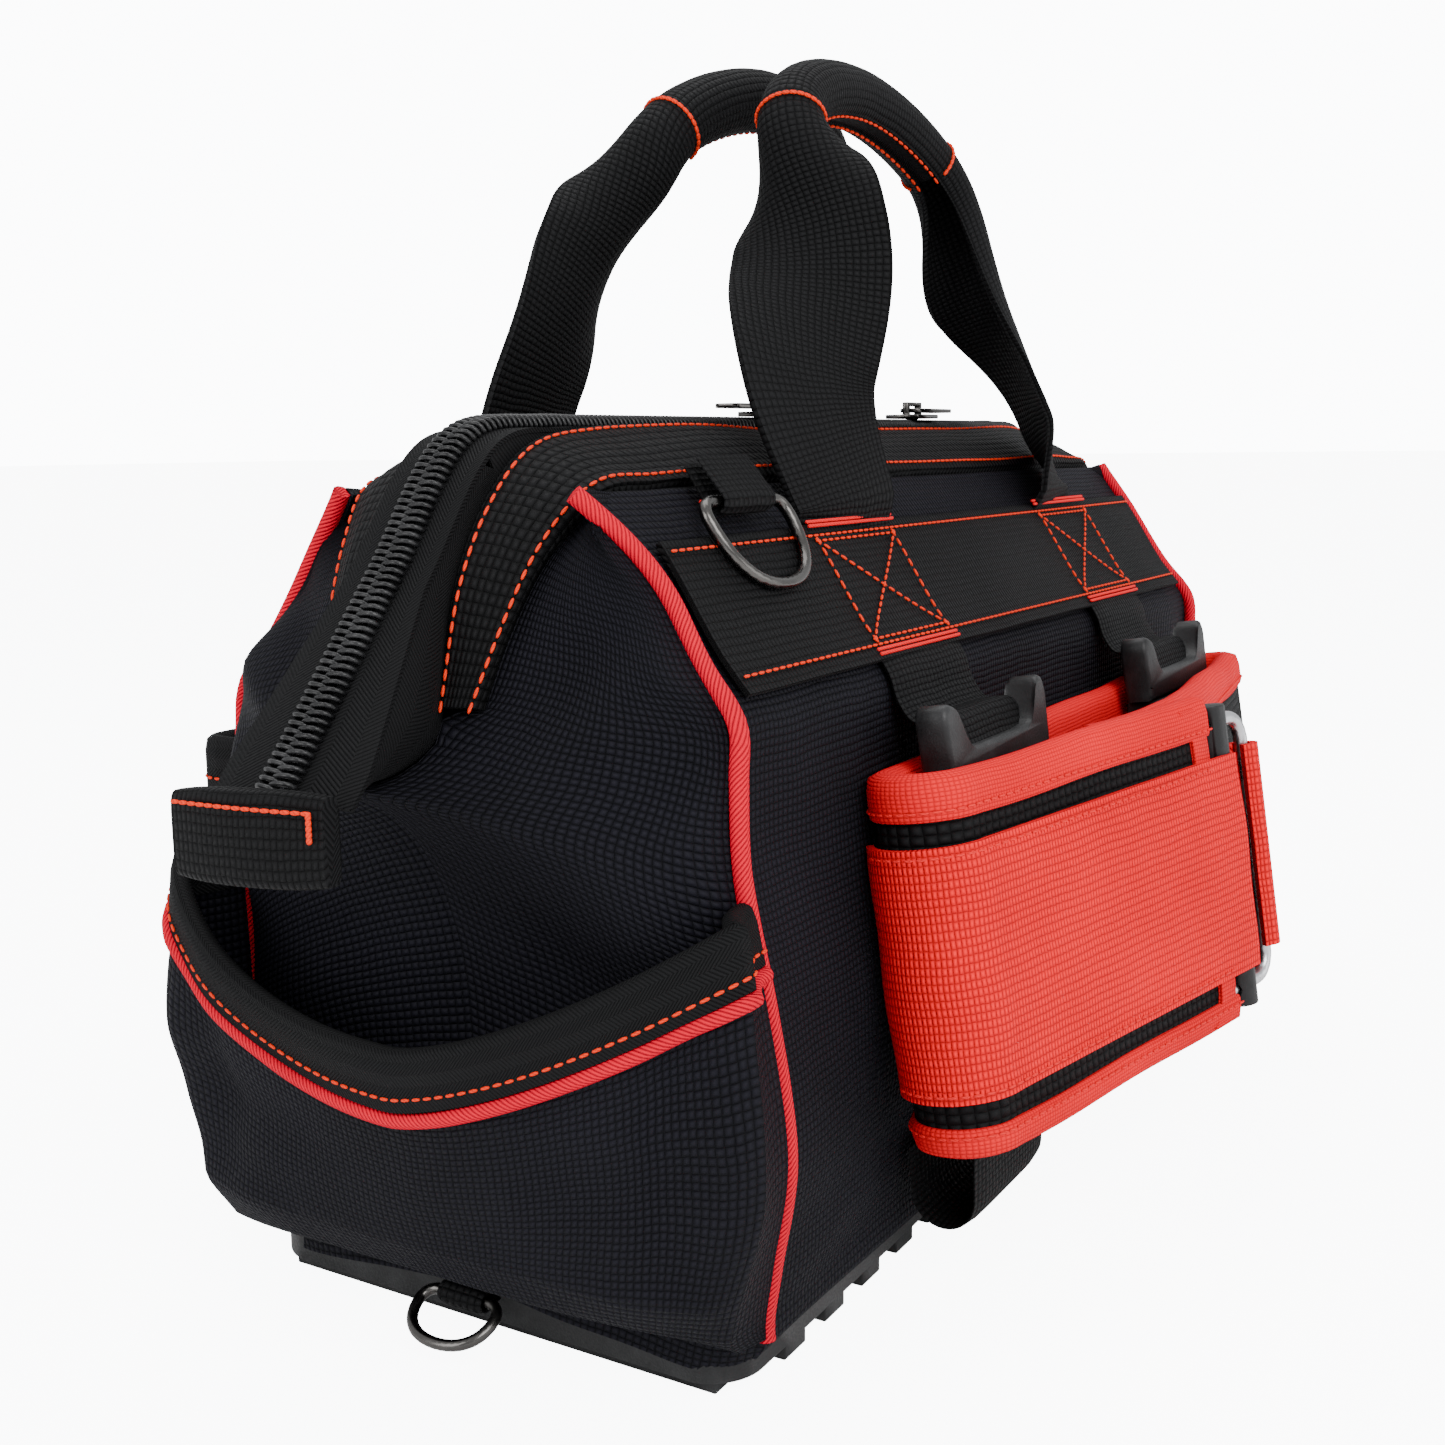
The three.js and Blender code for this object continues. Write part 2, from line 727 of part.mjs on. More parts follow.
function handleStrap(side, extra) {
  const curve = handleCurve(side);
  const rise = handle.gripHeight - handle.hingeHeight;
  const lean = vec3(0, side * (handle.gripY - handle.hingeY), rise).normalize();
  const out = vec3(1, 0, 0).cross(lean).multiplyScalar(-side);
  return loft(32, 1, 1, (u, v, w) => {
    const point = curve.getPoint(u);
    const tangent = curve.getTangent(u);
    // The webbing lies flat in the handle's plane at the anchors and turns on edge into the grip.
    const inPlane = tangent.clone().cross(out).normalize();
    const folded = THREE.MathUtils.smoothstep(0.5 - Math.abs(u - 0.5), 0.08, 0.34);
    const width = mix(webbing.width, handle.coreWidth, folded) + 2 * extra;
    const thick = webbing.thickness + 2 * extra;
    point.addScaledVector(inPlane, (v - 0.5) * width);
    return point.addScaledVector(out, (w - 0.5) * thick);
  });
}

function gripSolid(side) {
  const curve = handleCurve(side);
  const points = [];
  for (let i = 0; i <= 12; i += 1) points.push(curve.getPoint(mix(0.345, 0.655, i / 12)));
  const sleeve = roundBar(new THREE.CatmullRomCurve3(points), handle.gripRadius, 12, 12);
  return cut(sleeve, handleStrap(side, gap));
}

for (const side of sides) {
  add(`${side.name}_handle`, handleStrap(side.y, 0), webbingBlack);
  add(`${side.name}_grip`, gripSolid(side.y), webbingBlack);
}

// ---------------------------------------------------------------- rings and their webbing loops

// Turns X and Y to two directions at right angles to each other.
function basisOf(first, second) {
  return new THREE.Matrix4().makeBasis(first, second, first.clone().cross(second));
}

// A D drawn in X and Y: its straight bar lies on the X axis and its bow hangs to -Y.
function ringPath(width, fall) {
  const half = width / 2;
  const round = 4;
  const path = new THREE.Path();
  path.moveTo(-half + round, 0);
  path.lineTo(half - round, 0);
  path.absarc(half - round, -round, round, Math.PI / 2, 0, true);
  path.bezierCurveTo(half, -fall * 0.75, half * 0.6, -fall, 0, -fall);
  path.bezierCurveTo(-half * 0.6, -fall, -half, -fall * 0.75, -half, -round);
  path.absarc(-half + round, -round, round, Math.PI, Math.PI / 2, true);
  return path;
}

// A webbing loop round a bar along Z at the origin, with a tail of two plies that runs along a direction.
function loopSolid(barRadius, width, tailLength) {
  const inner = barRadius + gap;
  const outer = inner + 1.6;
  const eye = new THREE.Shape();
  eye.absarc(0, 0, outer, 0, 2 * Math.PI);
  const tail = new THREE.Shape([
    vec2(0, -outer + 0.1),
    vec2(tailLength, -outer + 0.1),
    vec2(tailLength, -outer + 2.6),
    vec2(0, -outer + 2.6),
  ]);
  const hole = new THREE.Shape();
  hole.absarc(0, 0, inner, 0, 2 * Math.PI);
  const solid = join(extrude(eye, -width / 2, width / 2), extrude(tail, -width / 2, width / 2));
  return cut(solid, extrude(hole, -width, width));
}

// Shoulder-strap rings: one at the near end of the front band, one at the far end of the rear band.
const ringAt = profileAt(upperSide, band.top + 6);
const ringPoint = offProfile(upperSide, ringAt, shoulderRing.standOff);
const ringSlope = upperSide.getTangent(profileAt(upperSide, (band.bottom + band.top) / 2));

for (const [side, end] of [[sides[0], ends[0]], [sides[1], ends[1]]]) {
  const place = new THREE.Group();
  place.position.set(end.x * shoulderRing.x, side.y * ringPoint.x, ringPoint.y);
  group.add(place);
  const ring = wireLoop(ringPath(shoulderRing.width, shoulderRing.drop), shoulderRing.wire, 40);
  // Lay the bow along the band: the ring's -Y becomes the way down the slope.
  const down = vec3(0, -side.y * ringSlope.x, -ringSlope.y).normalize();
  const along = vec3(1, 0, 0);
  const back = down.clone().negate();
  add(`${side.name}_ring`, ring.applyMatrix4(basisOf(along, back)), gunmetal, place);
  const loop = loopSolid(shoulderRing.wire, shoulderRing.loopWidth, 9);
  // The loop's tail runs up and inward under the collar's edge.
  const up = upperSide.getTangent(ringAt);
  const tailWay = vec3(0, side.y * up.x, up.y).normalize();
  const outward = vec3(0, side.y * up.y, -up.x).normalize();
  add(`${side.name}_ring_loop`, closed(loop.applyMatrix4(basisOf(tailWay, outward))), webbingBlack, place);
}

// Rings low on the two ends, each on a webbing loop that comes out of the seam over the tray.
for (const end of ends) {
  const place = new THREE.Group();
  place.position.set(end.x * (halfLength + baseRing.reach), 0, baseRing.height);
  group.add(place);
  const ring = wireLoop(ringPath(baseRing.width, baseRing.drop), baseRing.wire, 36);
  const outwardDown = vec3(end.x * Math.cos(baseRing.fall), 0, -Math.sin(baseRing.fall));
  const bar = vec3(0, 1, 0);
  const up = outwardDown.clone().negate();
  add(`${end.name}_base_ring`, ring.applyMatrix4(basisOf(bar, up)), gunmetal, place);
  const tail = baseRing.reach - gap;
  const loop = loopSolid(baseRing.wire, baseRing.loopWidth, tail);
  const tailWay = vec3(-end.x, 0, 0);
  const outward = vec3(0, 0, -1);
  add(`${end.name}_base_loop`, closed(loop.applyMatrix4(basisOf(tailWay, outward))), webbingBlack, place);
}

// ---------------------------------------------------------------- belt roll
// The roll, its buckles and its adjuster share a frame that leans with the front of the bag.
// Local Y = 0 is the back of the roll and local Z = 0 is its middle height.

const carrier = new THREE.Group();
carrier.position.set(0, -(halfDepth + belt.standOff), beltMiddle);
carrier.rotation.x = -belt.lean;
group.add(carrier);

// Plan of the padded belt, from its inner end behind the front layer round to its outer end.
function beltPath() {
  const rearY = -belt.thickness / 2;
  const path = new THREE.Path();
  path.moveTo(belt.innerEnd, innerEndY);
  path.lineTo(belt.innerBend, innerBendY);
  path.lineTo(belt.farFold, rearY - 2 * farFoldRadius);
  path.absarc(belt.farFold, rearY - farFoldRadius, farFoldRadius, -Math.PI / 2, Math.PI / 2, false);
  path.lineTo(belt.nearFold, rearY);
  path.absarc(belt.nearFold, rearY - nearFoldRadius, nearFoldRadius, Math.PI / 2, 1.5 * Math.PI, false);
  path.lineTo(belt.outerEnd, outerEndY);
  return path;
}

const beltPoints = distinct(beltPath().getPoints(8));
const beltOutline = stripOutline(beltPoints, belt.thickness);
add('belt_pad', extrude(beltOutline, -belt.height / 2, belt.height / 2), redCloth, carrier);

// The front layer's direction, from the near fold to the belt's outer end.
const frontStart = vec2(belt.nearFold, -belt.thickness / 2 - 2 * nearFoldRadius);
const frontEnd = vec2(belt.outerEnd, outerEndY);
const frontWay = frontEnd.clone().sub(frontStart).normalize();
const frontTurn = Math.atan2(frontWay.y, frontWay.x);
const webOffset = belt.thickness / 2 + gap + belt.webThickness / 2;

// The wide webbing starts on the near fold, covers the front layer and ends over the adjuster's bar.
function beltWebPath() {
  const out = vec2(frontWay.y, -frontWay.x).multiplyScalar(webOffset);
  const path = new THREE.Path();
  const radius = nearFoldRadius + webOffset;
  const middle = vec2(belt.nearFold, -belt.thickness / 2 - nearFoldRadius);
  path.absarc(middle.x, middle.y, radius, Math.PI, 1.5 * Math.PI + frontTurn, false);
  const last = frontEnd.clone().add(out).addScaledVector(frontWay, -1);
  path.lineTo(last.x, last.y);
  return path;
}

const webPoints = distinct(beltWebPath().getPoints(6));
const webOutline = stripOutline(webPoints, belt.webThickness);
add('belt_webbing', extrude(webOutline, -belt.webHeight / 2, belt.webHeight / 2), redCloth, carrier);

// The adjuster: a bent wire frame, open towards the belt, with a bar that slides along its two long wires.
const adjusterGroup = new THREE.Group();
const barAt = frontEnd.clone().addScaledVector(frontWay, adjuster.barRadius + 3);
adjusterGroup.position.set(barAt.x, barAt.y, 0);
adjusterGroup.rotation.z = frontTurn;
carrier.add(adjusterGroup);

function adjusterFrame() {
  const half = adjuster.height / 2;
  const round = 6;
  const points = [
    vec3(-adjuster.stub, 0, half),
    vec3(adjuster.reach - round, 0, half),
    vec3(adjuster.reach - round * 0.3, 0, half - round * 0.3),
    vec3(adjuster.reach, 0, half - round),
    vec3(adjuster.reach, 0, round - half),
    vec3(adjuster.reach - round * 0.3, 0, round * 0.3 - half),
    vec3(adjuster.reach - round, 0, -half),
    vec3(-adjuster.stub, 0, -half),
  ];
  const path = new THREE.CurvePath();
  for (let i = 1; i < points.length; i += 1) path.add(new THREE.LineCurve3(points[i - 1], points[i]));
  const bent = new THREE.CatmullRomCurve3(path.getSpacedPoints(40), false, 'centripetal');
  return roundBar(bent, adjuster.wire, 40);
}

add('belt_frame', adjusterFrame(), steel, adjusterGroup);

function slideBar() {
  const half = adjuster.height / 2 + adjuster.wire + 3;
  const bar = new THREE.CylinderGeometry(adjuster.barRadius, adjuster.barRadius, 2 * half, 16);
  const holes = [-1, 1].map((way) => {
    const radius = adjuster.wire + gap;
    const hole = new THREE.CylinderGeometry(radius, radius, 4 * adjuster.barRadius, 12);
    return closed(hole.rotateZ(Math.PI / 2).translate(0, 0, way * adjuster.height / 2));
  });
  return cut(closed(bar.rotateX(Math.PI / 2)), ...holes);
}

add('belt_slide_bar', slideBar(), mouldedBlack, adjusterGroup);

// The narrower strap folded round the frame's closed side.
function frameStrap() {
  const radius = adjuster.wire + gap + belt.webThickness / 2;
  const start = adjuster.barRadius + adjuster.travel + adjuster.strapEase + gap;
  const path = new THREE.Path();
  path.moveTo(start, radius);
  path.lineTo(adjuster.reach, radius);
  path.absarc(adjuster.reach, 0, radius, Math.PI / 2, -Math.PI / 2, true);
  path.lineTo(start, -radius);
  return extrude(
    stripOutline(distinct(path.getPoints(6)), belt.webThickness),
    -adjuster.strapHeight / 2,
    adjuster.strapHeight / 2,
  );
}

add('belt_frame_strap', frameStrap(), redCloth, adjusterGroup);

// ---------------------------------------------------------------- strap buckles

// The upper half: a crossbar between two raised ears, with the middle tongue that guides it.
// The strap comes down between the ears.
function maleHalf() {
  const half = buckle.shoulderWidth / 2;
  const low = buckle.split + gap;
  const earFront = buckleFront - buckle.earStandOut;
  const earRear = buckleRear + buckle.earStandOut;
  const tongue = block(
    [-buckle.tongueWidth / 2, buckleMiddle - 2, buckle.windowLow + 4],
    [buckle.tongueWidth / 2, buckleMiddle + 2, low + 1],
  );
  const pieces = [block([-half, earFront, low], [half, earRear, buckle.crossbarTop]), tongue];
  for (const way of [-1, 1]) {
    const xs = [way * buckle.slotWidth / 2, way * half].sort((a, b) => a - b);
    pieces.push(block([xs[0], earFront, buckle.crossbarTop - 1], [xs[1], earRear, buckle.top]));
  }
  return join(...pieces);
}

function femaleHalf() {
  const half = buckle.width / 2;
  const wallY = (buckle.thickness - buckle.prongThickness) / 2 - 0.5;
  const shell = block([-half, buckleFront, buckle.bottom], [half, buckleRear, buckle.split]);
  const cavity = block(
    [-half + buckle.wall + 0.5, buckleFront + wallY, buckle.windowLow - 3],
    [half - buckle.wall - 0.5, buckleRear - wallY, buckle.split + 5],
  );
  const windows = block(
    [-half - 5, buckleFront + wallY, buckle.windowLow],
    [half + 5, buckleRear - wallY, buckle.windowHigh],
  );
  const slot = block(
    [-buckle.slotWidth / 2, buckleFront - 5, buckle.bottom + 2.5],
    [buckle.slotWidth / 2, buckleRear + 5, buckle.bottom + 2.5 + buckle.slotHeight],
  );
  return cut(shell, cavity, windows, slot);
}

// A springy arm that narrows to a neck where it bends.
function prong(way) {
  const neck = (buckle.prongInner + buckle.prongOuter) / 2;
  const outline = new THREE.Shape([
    vec2(neck - buckle.neckHalf, buckle.split),
    vec2(buckle.prongInner, buckle.split - buckle.neckLength),
    vec2(buckle.prongInner, buckle.headLow),
    vec2(buckle.prongOuter - 2, buckle.headLow),
    vec2(buckle.headOut, buckle.headHigh - 5),
    vec2(buckle.headOut, buckle.headHigh),
    vec2(buckle.prongOuter, buckle.headHigh),
    vec2(buckle.prongOuter, buckle.split - buckle.neckLength),
    vec2(neck + buckle.neckHalf, buckle.split),
  ]);
  const flat = extrude(outline, -buckle.prongThickness / 2, buckle.prongThickness / 2);
  return closed(flat.rotateX(Math.PI / 2).scale(way, 1, 1).translate(0, buckleMiddle, 0));
}

// A point of the leaning roll, seen from the end, in the bag's own Y and Z.
function leaned(y, z) {
  const across = -(halfDepth + belt.standOff) + y * Math.cos(belt.lean) + z * Math.sin(belt.lean);
  return vec2(across, beltMiddle + z * Math.cos(belt.lean) - y * Math.sin(belt.lean));
}

// Upper strap: from under the band down between the ears of the buckle's upper half.
function upperStrap() {
  const start = vec2(-(halfDepth + webbing.thickness), lowerTop - 1);
  const end = leaned(buckleMiddle, buckle.crossbarTop + 2);
  return extrude(stripOutline([start, end], webbing.thickness), -webbing.width / 2, webbing.width / 2, acrossX);
}

// Lower strap: down behind the buckle, out under the roll, and folded back to the bag's foot.
function lowerStrap() {
  const front = halfDepth + 26;
  const turn = 9;
  const rearY = -(belt.thickness + 0.625 * buckle.strapSpace);
  const high = leaned(rearY, 36);
  const low = leaned(rearY, -belt.height / 2);
  const path = new THREE.Path();
  path.moveTo(high.x, high.y);
  path.lineTo(low.x, low.y);
  path.lineTo(-front, 24);
  path.absarc(-front + turn, 24, turn, Math.PI, 2 * Math.PI, false);
  path.lineTo(-(halfDepth + 0.55 * bag.belly + webbing.thickness), 36);
  const outline = stripOutline(distinct(path.getPoints(8)), webbing.thickness - 0.4);
  return extrude(outline, -webbing.width / 2, webbing.width / 2, acrossX);
}

handle.anchors.forEach((x, i) => {
  const name = ends[i].name;
  add(`${name}_buckle_upper`, maleHalf().translate(x, 0, 0), mouldedBlack, carrier);
  add(`${name}_buckle_lower`, femaleHalf().translate(x, 0, 0), mouldedBlack, carrier);
  add(`${name}_prong_left`, prong(-1).translate(x, 0, 0), mouldedBlack, carrier);
  add(`${name}_prong_right`, prong(1).translate(x, 0, 0), mouldedBlack, carrier);
  add(`${name}_upper_strap`, upperStrap().translate(x, 0, 0), webbingBlack);
  add(`${name}_lower_strap`, lowerStrap().translate(x, 0, 0), webbingBlack);
});

export default group;
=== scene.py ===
# %% [markdown]
# # A gate-mouth tool bag with a folded belt on its front
# The imported CAD model is the fixed frame: every piece below goes where its nodes
# say, and most pieces move with one of its bodies; those that span two are only baked in
# place. Sizes are written in millimetres, and turned to metres only when a mesh is made.

# %% Load the frame
import json
import math

import bpy
import numpy as np
from mathutils import Matrix, Vector

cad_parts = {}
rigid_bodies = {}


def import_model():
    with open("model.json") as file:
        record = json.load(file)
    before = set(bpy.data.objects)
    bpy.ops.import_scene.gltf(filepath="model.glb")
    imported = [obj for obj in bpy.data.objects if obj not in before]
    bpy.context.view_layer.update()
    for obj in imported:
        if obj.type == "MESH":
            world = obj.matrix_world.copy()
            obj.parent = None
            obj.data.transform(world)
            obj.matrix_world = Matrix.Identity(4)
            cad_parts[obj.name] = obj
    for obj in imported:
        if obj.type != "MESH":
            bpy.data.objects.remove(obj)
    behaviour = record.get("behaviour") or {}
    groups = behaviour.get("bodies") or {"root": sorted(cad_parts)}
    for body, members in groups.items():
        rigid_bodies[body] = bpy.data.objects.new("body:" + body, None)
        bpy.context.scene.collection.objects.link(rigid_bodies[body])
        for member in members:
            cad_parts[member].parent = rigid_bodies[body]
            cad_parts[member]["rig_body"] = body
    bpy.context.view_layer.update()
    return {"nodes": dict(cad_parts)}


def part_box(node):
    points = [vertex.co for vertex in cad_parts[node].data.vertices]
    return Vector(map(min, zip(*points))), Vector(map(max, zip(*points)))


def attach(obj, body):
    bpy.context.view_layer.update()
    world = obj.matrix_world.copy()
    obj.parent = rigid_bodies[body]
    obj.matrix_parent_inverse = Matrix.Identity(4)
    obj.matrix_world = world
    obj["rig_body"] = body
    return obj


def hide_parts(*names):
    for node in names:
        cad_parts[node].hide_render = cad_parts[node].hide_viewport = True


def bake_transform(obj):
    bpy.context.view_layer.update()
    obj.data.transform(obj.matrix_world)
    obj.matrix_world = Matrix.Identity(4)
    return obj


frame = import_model()
MM = 0.001

# %% [markdown]
# ## Camera, floor and light
# The camera comes first, so that every later piece can be judged through it. It
# stands low, off the bag's near front corner. A pale floor and big soft lights from
# above and in front give black cloth a gentle highlight on every fold.
#
# Light that suits black cloth leaves pale paper grey. So the sky and the floor are
# brighter where the camera looks straight at them, and keep a gentle strength for
# every other ray. A Light Path node in each material tells the two apart.


# %% Camera
def camera_axes(azimuth, elevation, roll):
    """The camera's right, up and back directions, from three angles in degrees."""
    a, e, r = (math.radians(angle) for angle in (azimuth, elevation, roll))
    back = np.array([math.sin(a) * math.cos(e), -math.cos(a) * math.cos(e), math.sin(e)])
    right = np.cross([0, 0, 1], back)
    right /= np.linalg.norm(right)
    up = np.cross(back, right)
    return right * math.cos(r) + up * math.sin(r), up * math.cos(r) - right * math.sin(r), back


CAMERA_TURN, CAMERA_AT = (-59.03, 9.25, -0.73), (-495.7, -263.2, 223.1)
camera = bpy.data.objects.new("camera", bpy.data.cameras.new("camera"))
bpy.context.scene.collection.objects.link(camera)
camera.data.sensor_width = 36
camera.data.lens = 42.3
camera.data.clip_start = 0.01
stand = Matrix(np.array(camera_axes(*CAMERA_TURN)).T.tolist()).to_4x4()
stand.translation = Vector(CAMERA_AT) * MM
camera.matrix_world = stand
bpy.context.scene.camera = camera
print("camera at", [round(c, 3) for c in camera.location])


# %% Floor, sky and lights
def plain_material(name, color, roughness):
    made = bpy.data.materials.new(name)
    made.use_nodes = True
    shader = made.node_tree.nodes["Principled BSDF"]
    shader.inputs["Base Color"].default_value = (*color, 1)
    shader.inputs["Roughness"].default_value = roughness
    return made


def floor_mesh(half):
    mesh = bpy.data.meshes.new("floor")
    mesh.from_pydata([(-half, -half, 0), (half, -half, 0), (half, half, 0), (-half, half, 0)], [], [(0, 1, 2, 3)])
    return mesh


floor = bpy.data.objects.new("floor", floor_mesh(30))
floor.data.materials.append(plain_material("floor paper", (0.93, 0.93, 0.93), 0.95))
bpy.context.scene.collection.objects.link(floor)

world = bpy.data.worlds.new("studio")
world.use_nodes = True


def brighter_when_seen(tree, socket, plain, seen):
    """A strength that is higher where the camera looks straight at the backdrop."""
    ray = tree.nodes.new("ShaderNodeLightPath")
    scale = tree.nodes.new("ShaderNodeMath")
    scale.operation = "MULTIPLY_ADD"
    tree.links.new(ray.outputs["Is Camera Ray"], scale.inputs[0])
    scale.inputs[1].default_value = seen - plain
    scale.inputs[2].default_value = plain
    tree.links.new(scale.outputs[0], socket)


COOL_WHITE = (0.97, 0.985, 1, 1)
SKY_LIGHT, SKY_SEEN, PAPER_SEEN = 1.05, 12.0, 9.0
sky = world.node_tree.nodes["Background"]
sky.inputs["Color"].default_value = COOL_WHITE
brighter_when_seen(world.node_tree, sky.inputs["Strength"], SKY_LIGHT, SKY_SEEN)
paper = floor.data.materials[0].node_tree
paper_shader = paper.nodes["Principled BSDF"]
paper_shader.inputs["Emission Color"].default_value = COOL_WHITE
brighter_when_seen(paper, paper_shader.inputs["Emission Strength"], 0, PAPER_SEEN)
bpy.context.scene.world = world


BAG_MIDDLE = Vector((0, 0, 0.14))


def soft_light(name, position, size, power):
    data = bpy.data.lights.new(name, "AREA")
    data.shape = "RECTANGLE"
    data.size, data.size_y = size
    data.energy = power
    lamp = bpy.data.objects.new(name, data)
    bpy.context.scene.collection.objects.link(lamp)
    lamp.location = position
    aim = BAG_MIDDLE - Vector(position)
    lamp.rotation_euler = aim.to_track_quat("-Z", "Y").to_euler()


soft_light("key light", (-0.9, -1.3, 1.3), (1.2, 1.2), 34)
soft_light("end light", (-1.7, 0.5, 0.8), (0.9, 1.2), 16)
soft_light("top light", (0.2, 0.3, 1.6), (1.4, 1.0), 14)
soft_light("low front light", (0.6, -1.8, 0.45), (1.4, 0.8), 10)

# %% [markdown]
# ## Shaders
# The bag shows four kinds of cloth (a coarse basket-woven polyester, ribbed webbing,
# twill tape and the belt's bright webbing), moulded plastic and plated wire. Cloth
# is a pattern that follows the surface, so it reads each piece's own UV map, which
# is laid out in metres. The effects that several finishes use are node groups that
# give out only heights, masks and values.


# %% Small helpers for node trees
class Wiring:
    """Adds nodes to a tree and joins them, so that a formula reads like one."""

    def __init__(self, tree):
        self.tree = tree

    def node(self, kind, **settings):
        made = self.tree.nodes.new(kind)
        for key, value in settings.items():
            setattr(made, key, value)
        return made

    def feed(self, socket, value):
        if isinstance(value, bpy.types.NodeSocket):
            self.tree.links.new(value, socket)
        elif value is not None:
            socket.default_value = value

    def math(self, operation, a, b=None, c=None):
        made = self.node("ShaderNodeMath", operation=operation)
        for socket, value in zip(made.inputs, (a, b, c)):
            self.feed(socket, value)
        return made.outputs[0]

    def remap(self, value, low, high, to_low, to_high):
        made = self.node("ShaderNodeMapRange")
        for socket, given in zip(made.inputs, (value, low, high, to_low, to_high)):
            self.feed(socket, given)
        return made.outputs["Result"]

    def noise(self, vector, scale, detail=2.0, roughness=0.5):
        made = self.node("ShaderNodeTexNoise")
        self.feed(made.inputs["Vector"], vector)
        for name, value in (("Scale", scale), ("Detail", detail), ("Roughness", roughness)):
            self.feed(made.inputs[name], value)
        return made.outputs["Fac"]

    def mix_color(self, factor, a, b):
        made = self.node("ShaderNodeMix", data_type="RGBA")
        self.feed(made.inputs[0], factor)
        self.feed(made.inputs[6], a)
        self.feed(made.inputs[7], b)
        return made.outputs[2]


def shader_group(name, inputs, outputs):
    """An empty node group with named float or vector inputs and float outputs."""
    tree = bpy.data.node_groups.new(name, "ShaderNodeTree")
    for title, kind, value in inputs:
        socket = tree.interface.new_socket(title, in_out="INPUT", socket_type=kind)
        if value is not None:
            socket.default_value = value
    for title in outputs:
        tree.interface.new_socket(title, in_out="OUTPUT", socket_type="NodeSocketFloat")
    wiring = Wiring(tree)
    return tree, wiring, wiring.node("NodeGroupInput").outputs, wiring.node("NodeGroupOutput").inputs


# %% [markdown]
# ### Weave
# A plain weave is a chequer of crossing threads. In each cell one thread passes over
# the other: it is round across its width and bows along its length. The group works
# out that height from sines, with the two pitches given in metres, and a little
# noise bends the rows so that they don't look ruled.

# %% Weave group
FLOAT = "NodeSocketFloat"
weave, w, given, out = shader_group(
    "weave",
    [("Vector", "NodeSocketVector", None), ("Pitch across", FLOAT, 0.0016), ("Pitch along", FLOAT, 0.0016)],
    ["Height", "Thread"],
)
bend = w.node("ShaderNodeTexNoise")
w.feed(bend.inputs["Vector"], given["Vector"])
w.feed(bend.inputs["Scale"], 60.0)
w.feed(bend.inputs["Detail"], 1.0)
wander = w.node("ShaderNodeVectorMath", operation="MULTIPLY_ADD")
w.feed(wander.inputs[0], bend.outputs["Color"])
w.feed(wander.inputs[1], (0.0012, 0.0012, 0.0))
w.feed(wander.inputs[2], given["Vector"])
split = w.node("ShaderNodeSeparateXYZ")
w.feed(split.inputs[0], wander.outputs[0])
across = w.math("DIVIDE", split.outputs["X"], given["Pitch across"])
along = w.math("DIVIDE", split.outputs["Y"], given["Pitch along"])
parity = w.math("ADD", w.math("FLOOR", across), w.math("FLOOR", along))
over = w.math("PINGPONG", parity, 1.0)


def hump(value):
    return w.math("SINE", w.math("MULTIPLY", w.math("FRACT", value), math.pi))


def passing(round_way, long_way):
    body = w.math("POWER", round_way, 0.6)
    return w.math("MULTIPLY", body, w.math("MULTIPLY_ADD", w.math("POWER", long_way, 0.7), 0.65, 0.35))


hump_across, hump_along = hump(across), hump(along)
warp = w.math("MULTIPLY", passing(hump_across, hump_along), over)
weft = w.math("MULTIPLY", passing(hump_along, hump_across), w.math("SUBTRACT", 1.0, over))
w.feed(out["Height"], w.math("ADD", warp, weft))
w.feed(out["Thread"], over)
print("weave group has", len(weave.nodes), "nodes")

# %% [markdown]
# ### Twill
# Zip tape, binding tape and piping are twills: fine ridges that run at a slant. With
# a column width the slant flips from column to column, which makes a herringbone.

# %% Twill group
twill, w, given, out = shader_group(
    "twill",
    [("Vector", "NodeSocketVector", None), ("Pitch", FLOAT, 0.0012), ("Column", FLOAT, 1.0)],
    ["Height"],
)
split = w.node("ShaderNodeSeparateXYZ")
w.feed(split.inputs[0], given["Vector"])
column = w.math("DIVIDE", split.outputs["X"], given["Column"])
flip = w.math("MULTIPLY_ADD", w.math("PINGPONG", w.math("FLOOR", column), 1.0), 2.0, -1.0)
slant = w.math("MULTIPLY_ADD", split.outputs["X"], flip, split.outputs["Y"])
ridge = w.math("FRACT", w.math("DIVIDE", slant, given["Pitch"]))
w.feed(out["Height"], w.math("POWER", w.math("SINE", w.math("MULTIPLY", ridge, math.pi)), 0.7))
print("twill group has", len(twill.nodes), "nodes")

# %% [markdown]
# ### Handling
# New cloth still varies: broad patches lie a shade lighter where the nap is rubbed,
# and single fibres catch the light. The group gives a broad value and a fine one.

# %% Handling group
handling, w, given, out = shader_group("handling", [("Vector", "NodeSocketVector", None)], ["Broad", "Fine"])
w.feed(out["Broad"], w.remap(w.noise(given["Vector"], 14.0, 3.0), 0.35, 0.65, 0.0, 1.0))
w.feed(out["Fine"], w.noise(given["Vector"], 1400.0, 1.0))
print("handling group has", len(handling.nodes), "nodes")


# %% [markdown]
# ### Finishes
# Every cloth finish joins the groups in the same way: the weave's height drives the
# bump and paints shade into the gaps between threads, the handling shifts colour and
# roughness, and a faint constant sheen stands for the fuzz. Each finish has a painted
# shade colour for the gaps between its threads and one for the threads.


# %% Cloth and hard finishes
def finish(name):
    made = bpy.data.materials.new(name)
    made.use_nodes = True
    wiring = Wiring(made.node_tree)
    return made, wiring, made.node_tree.nodes["Principled BSDF"].inputs


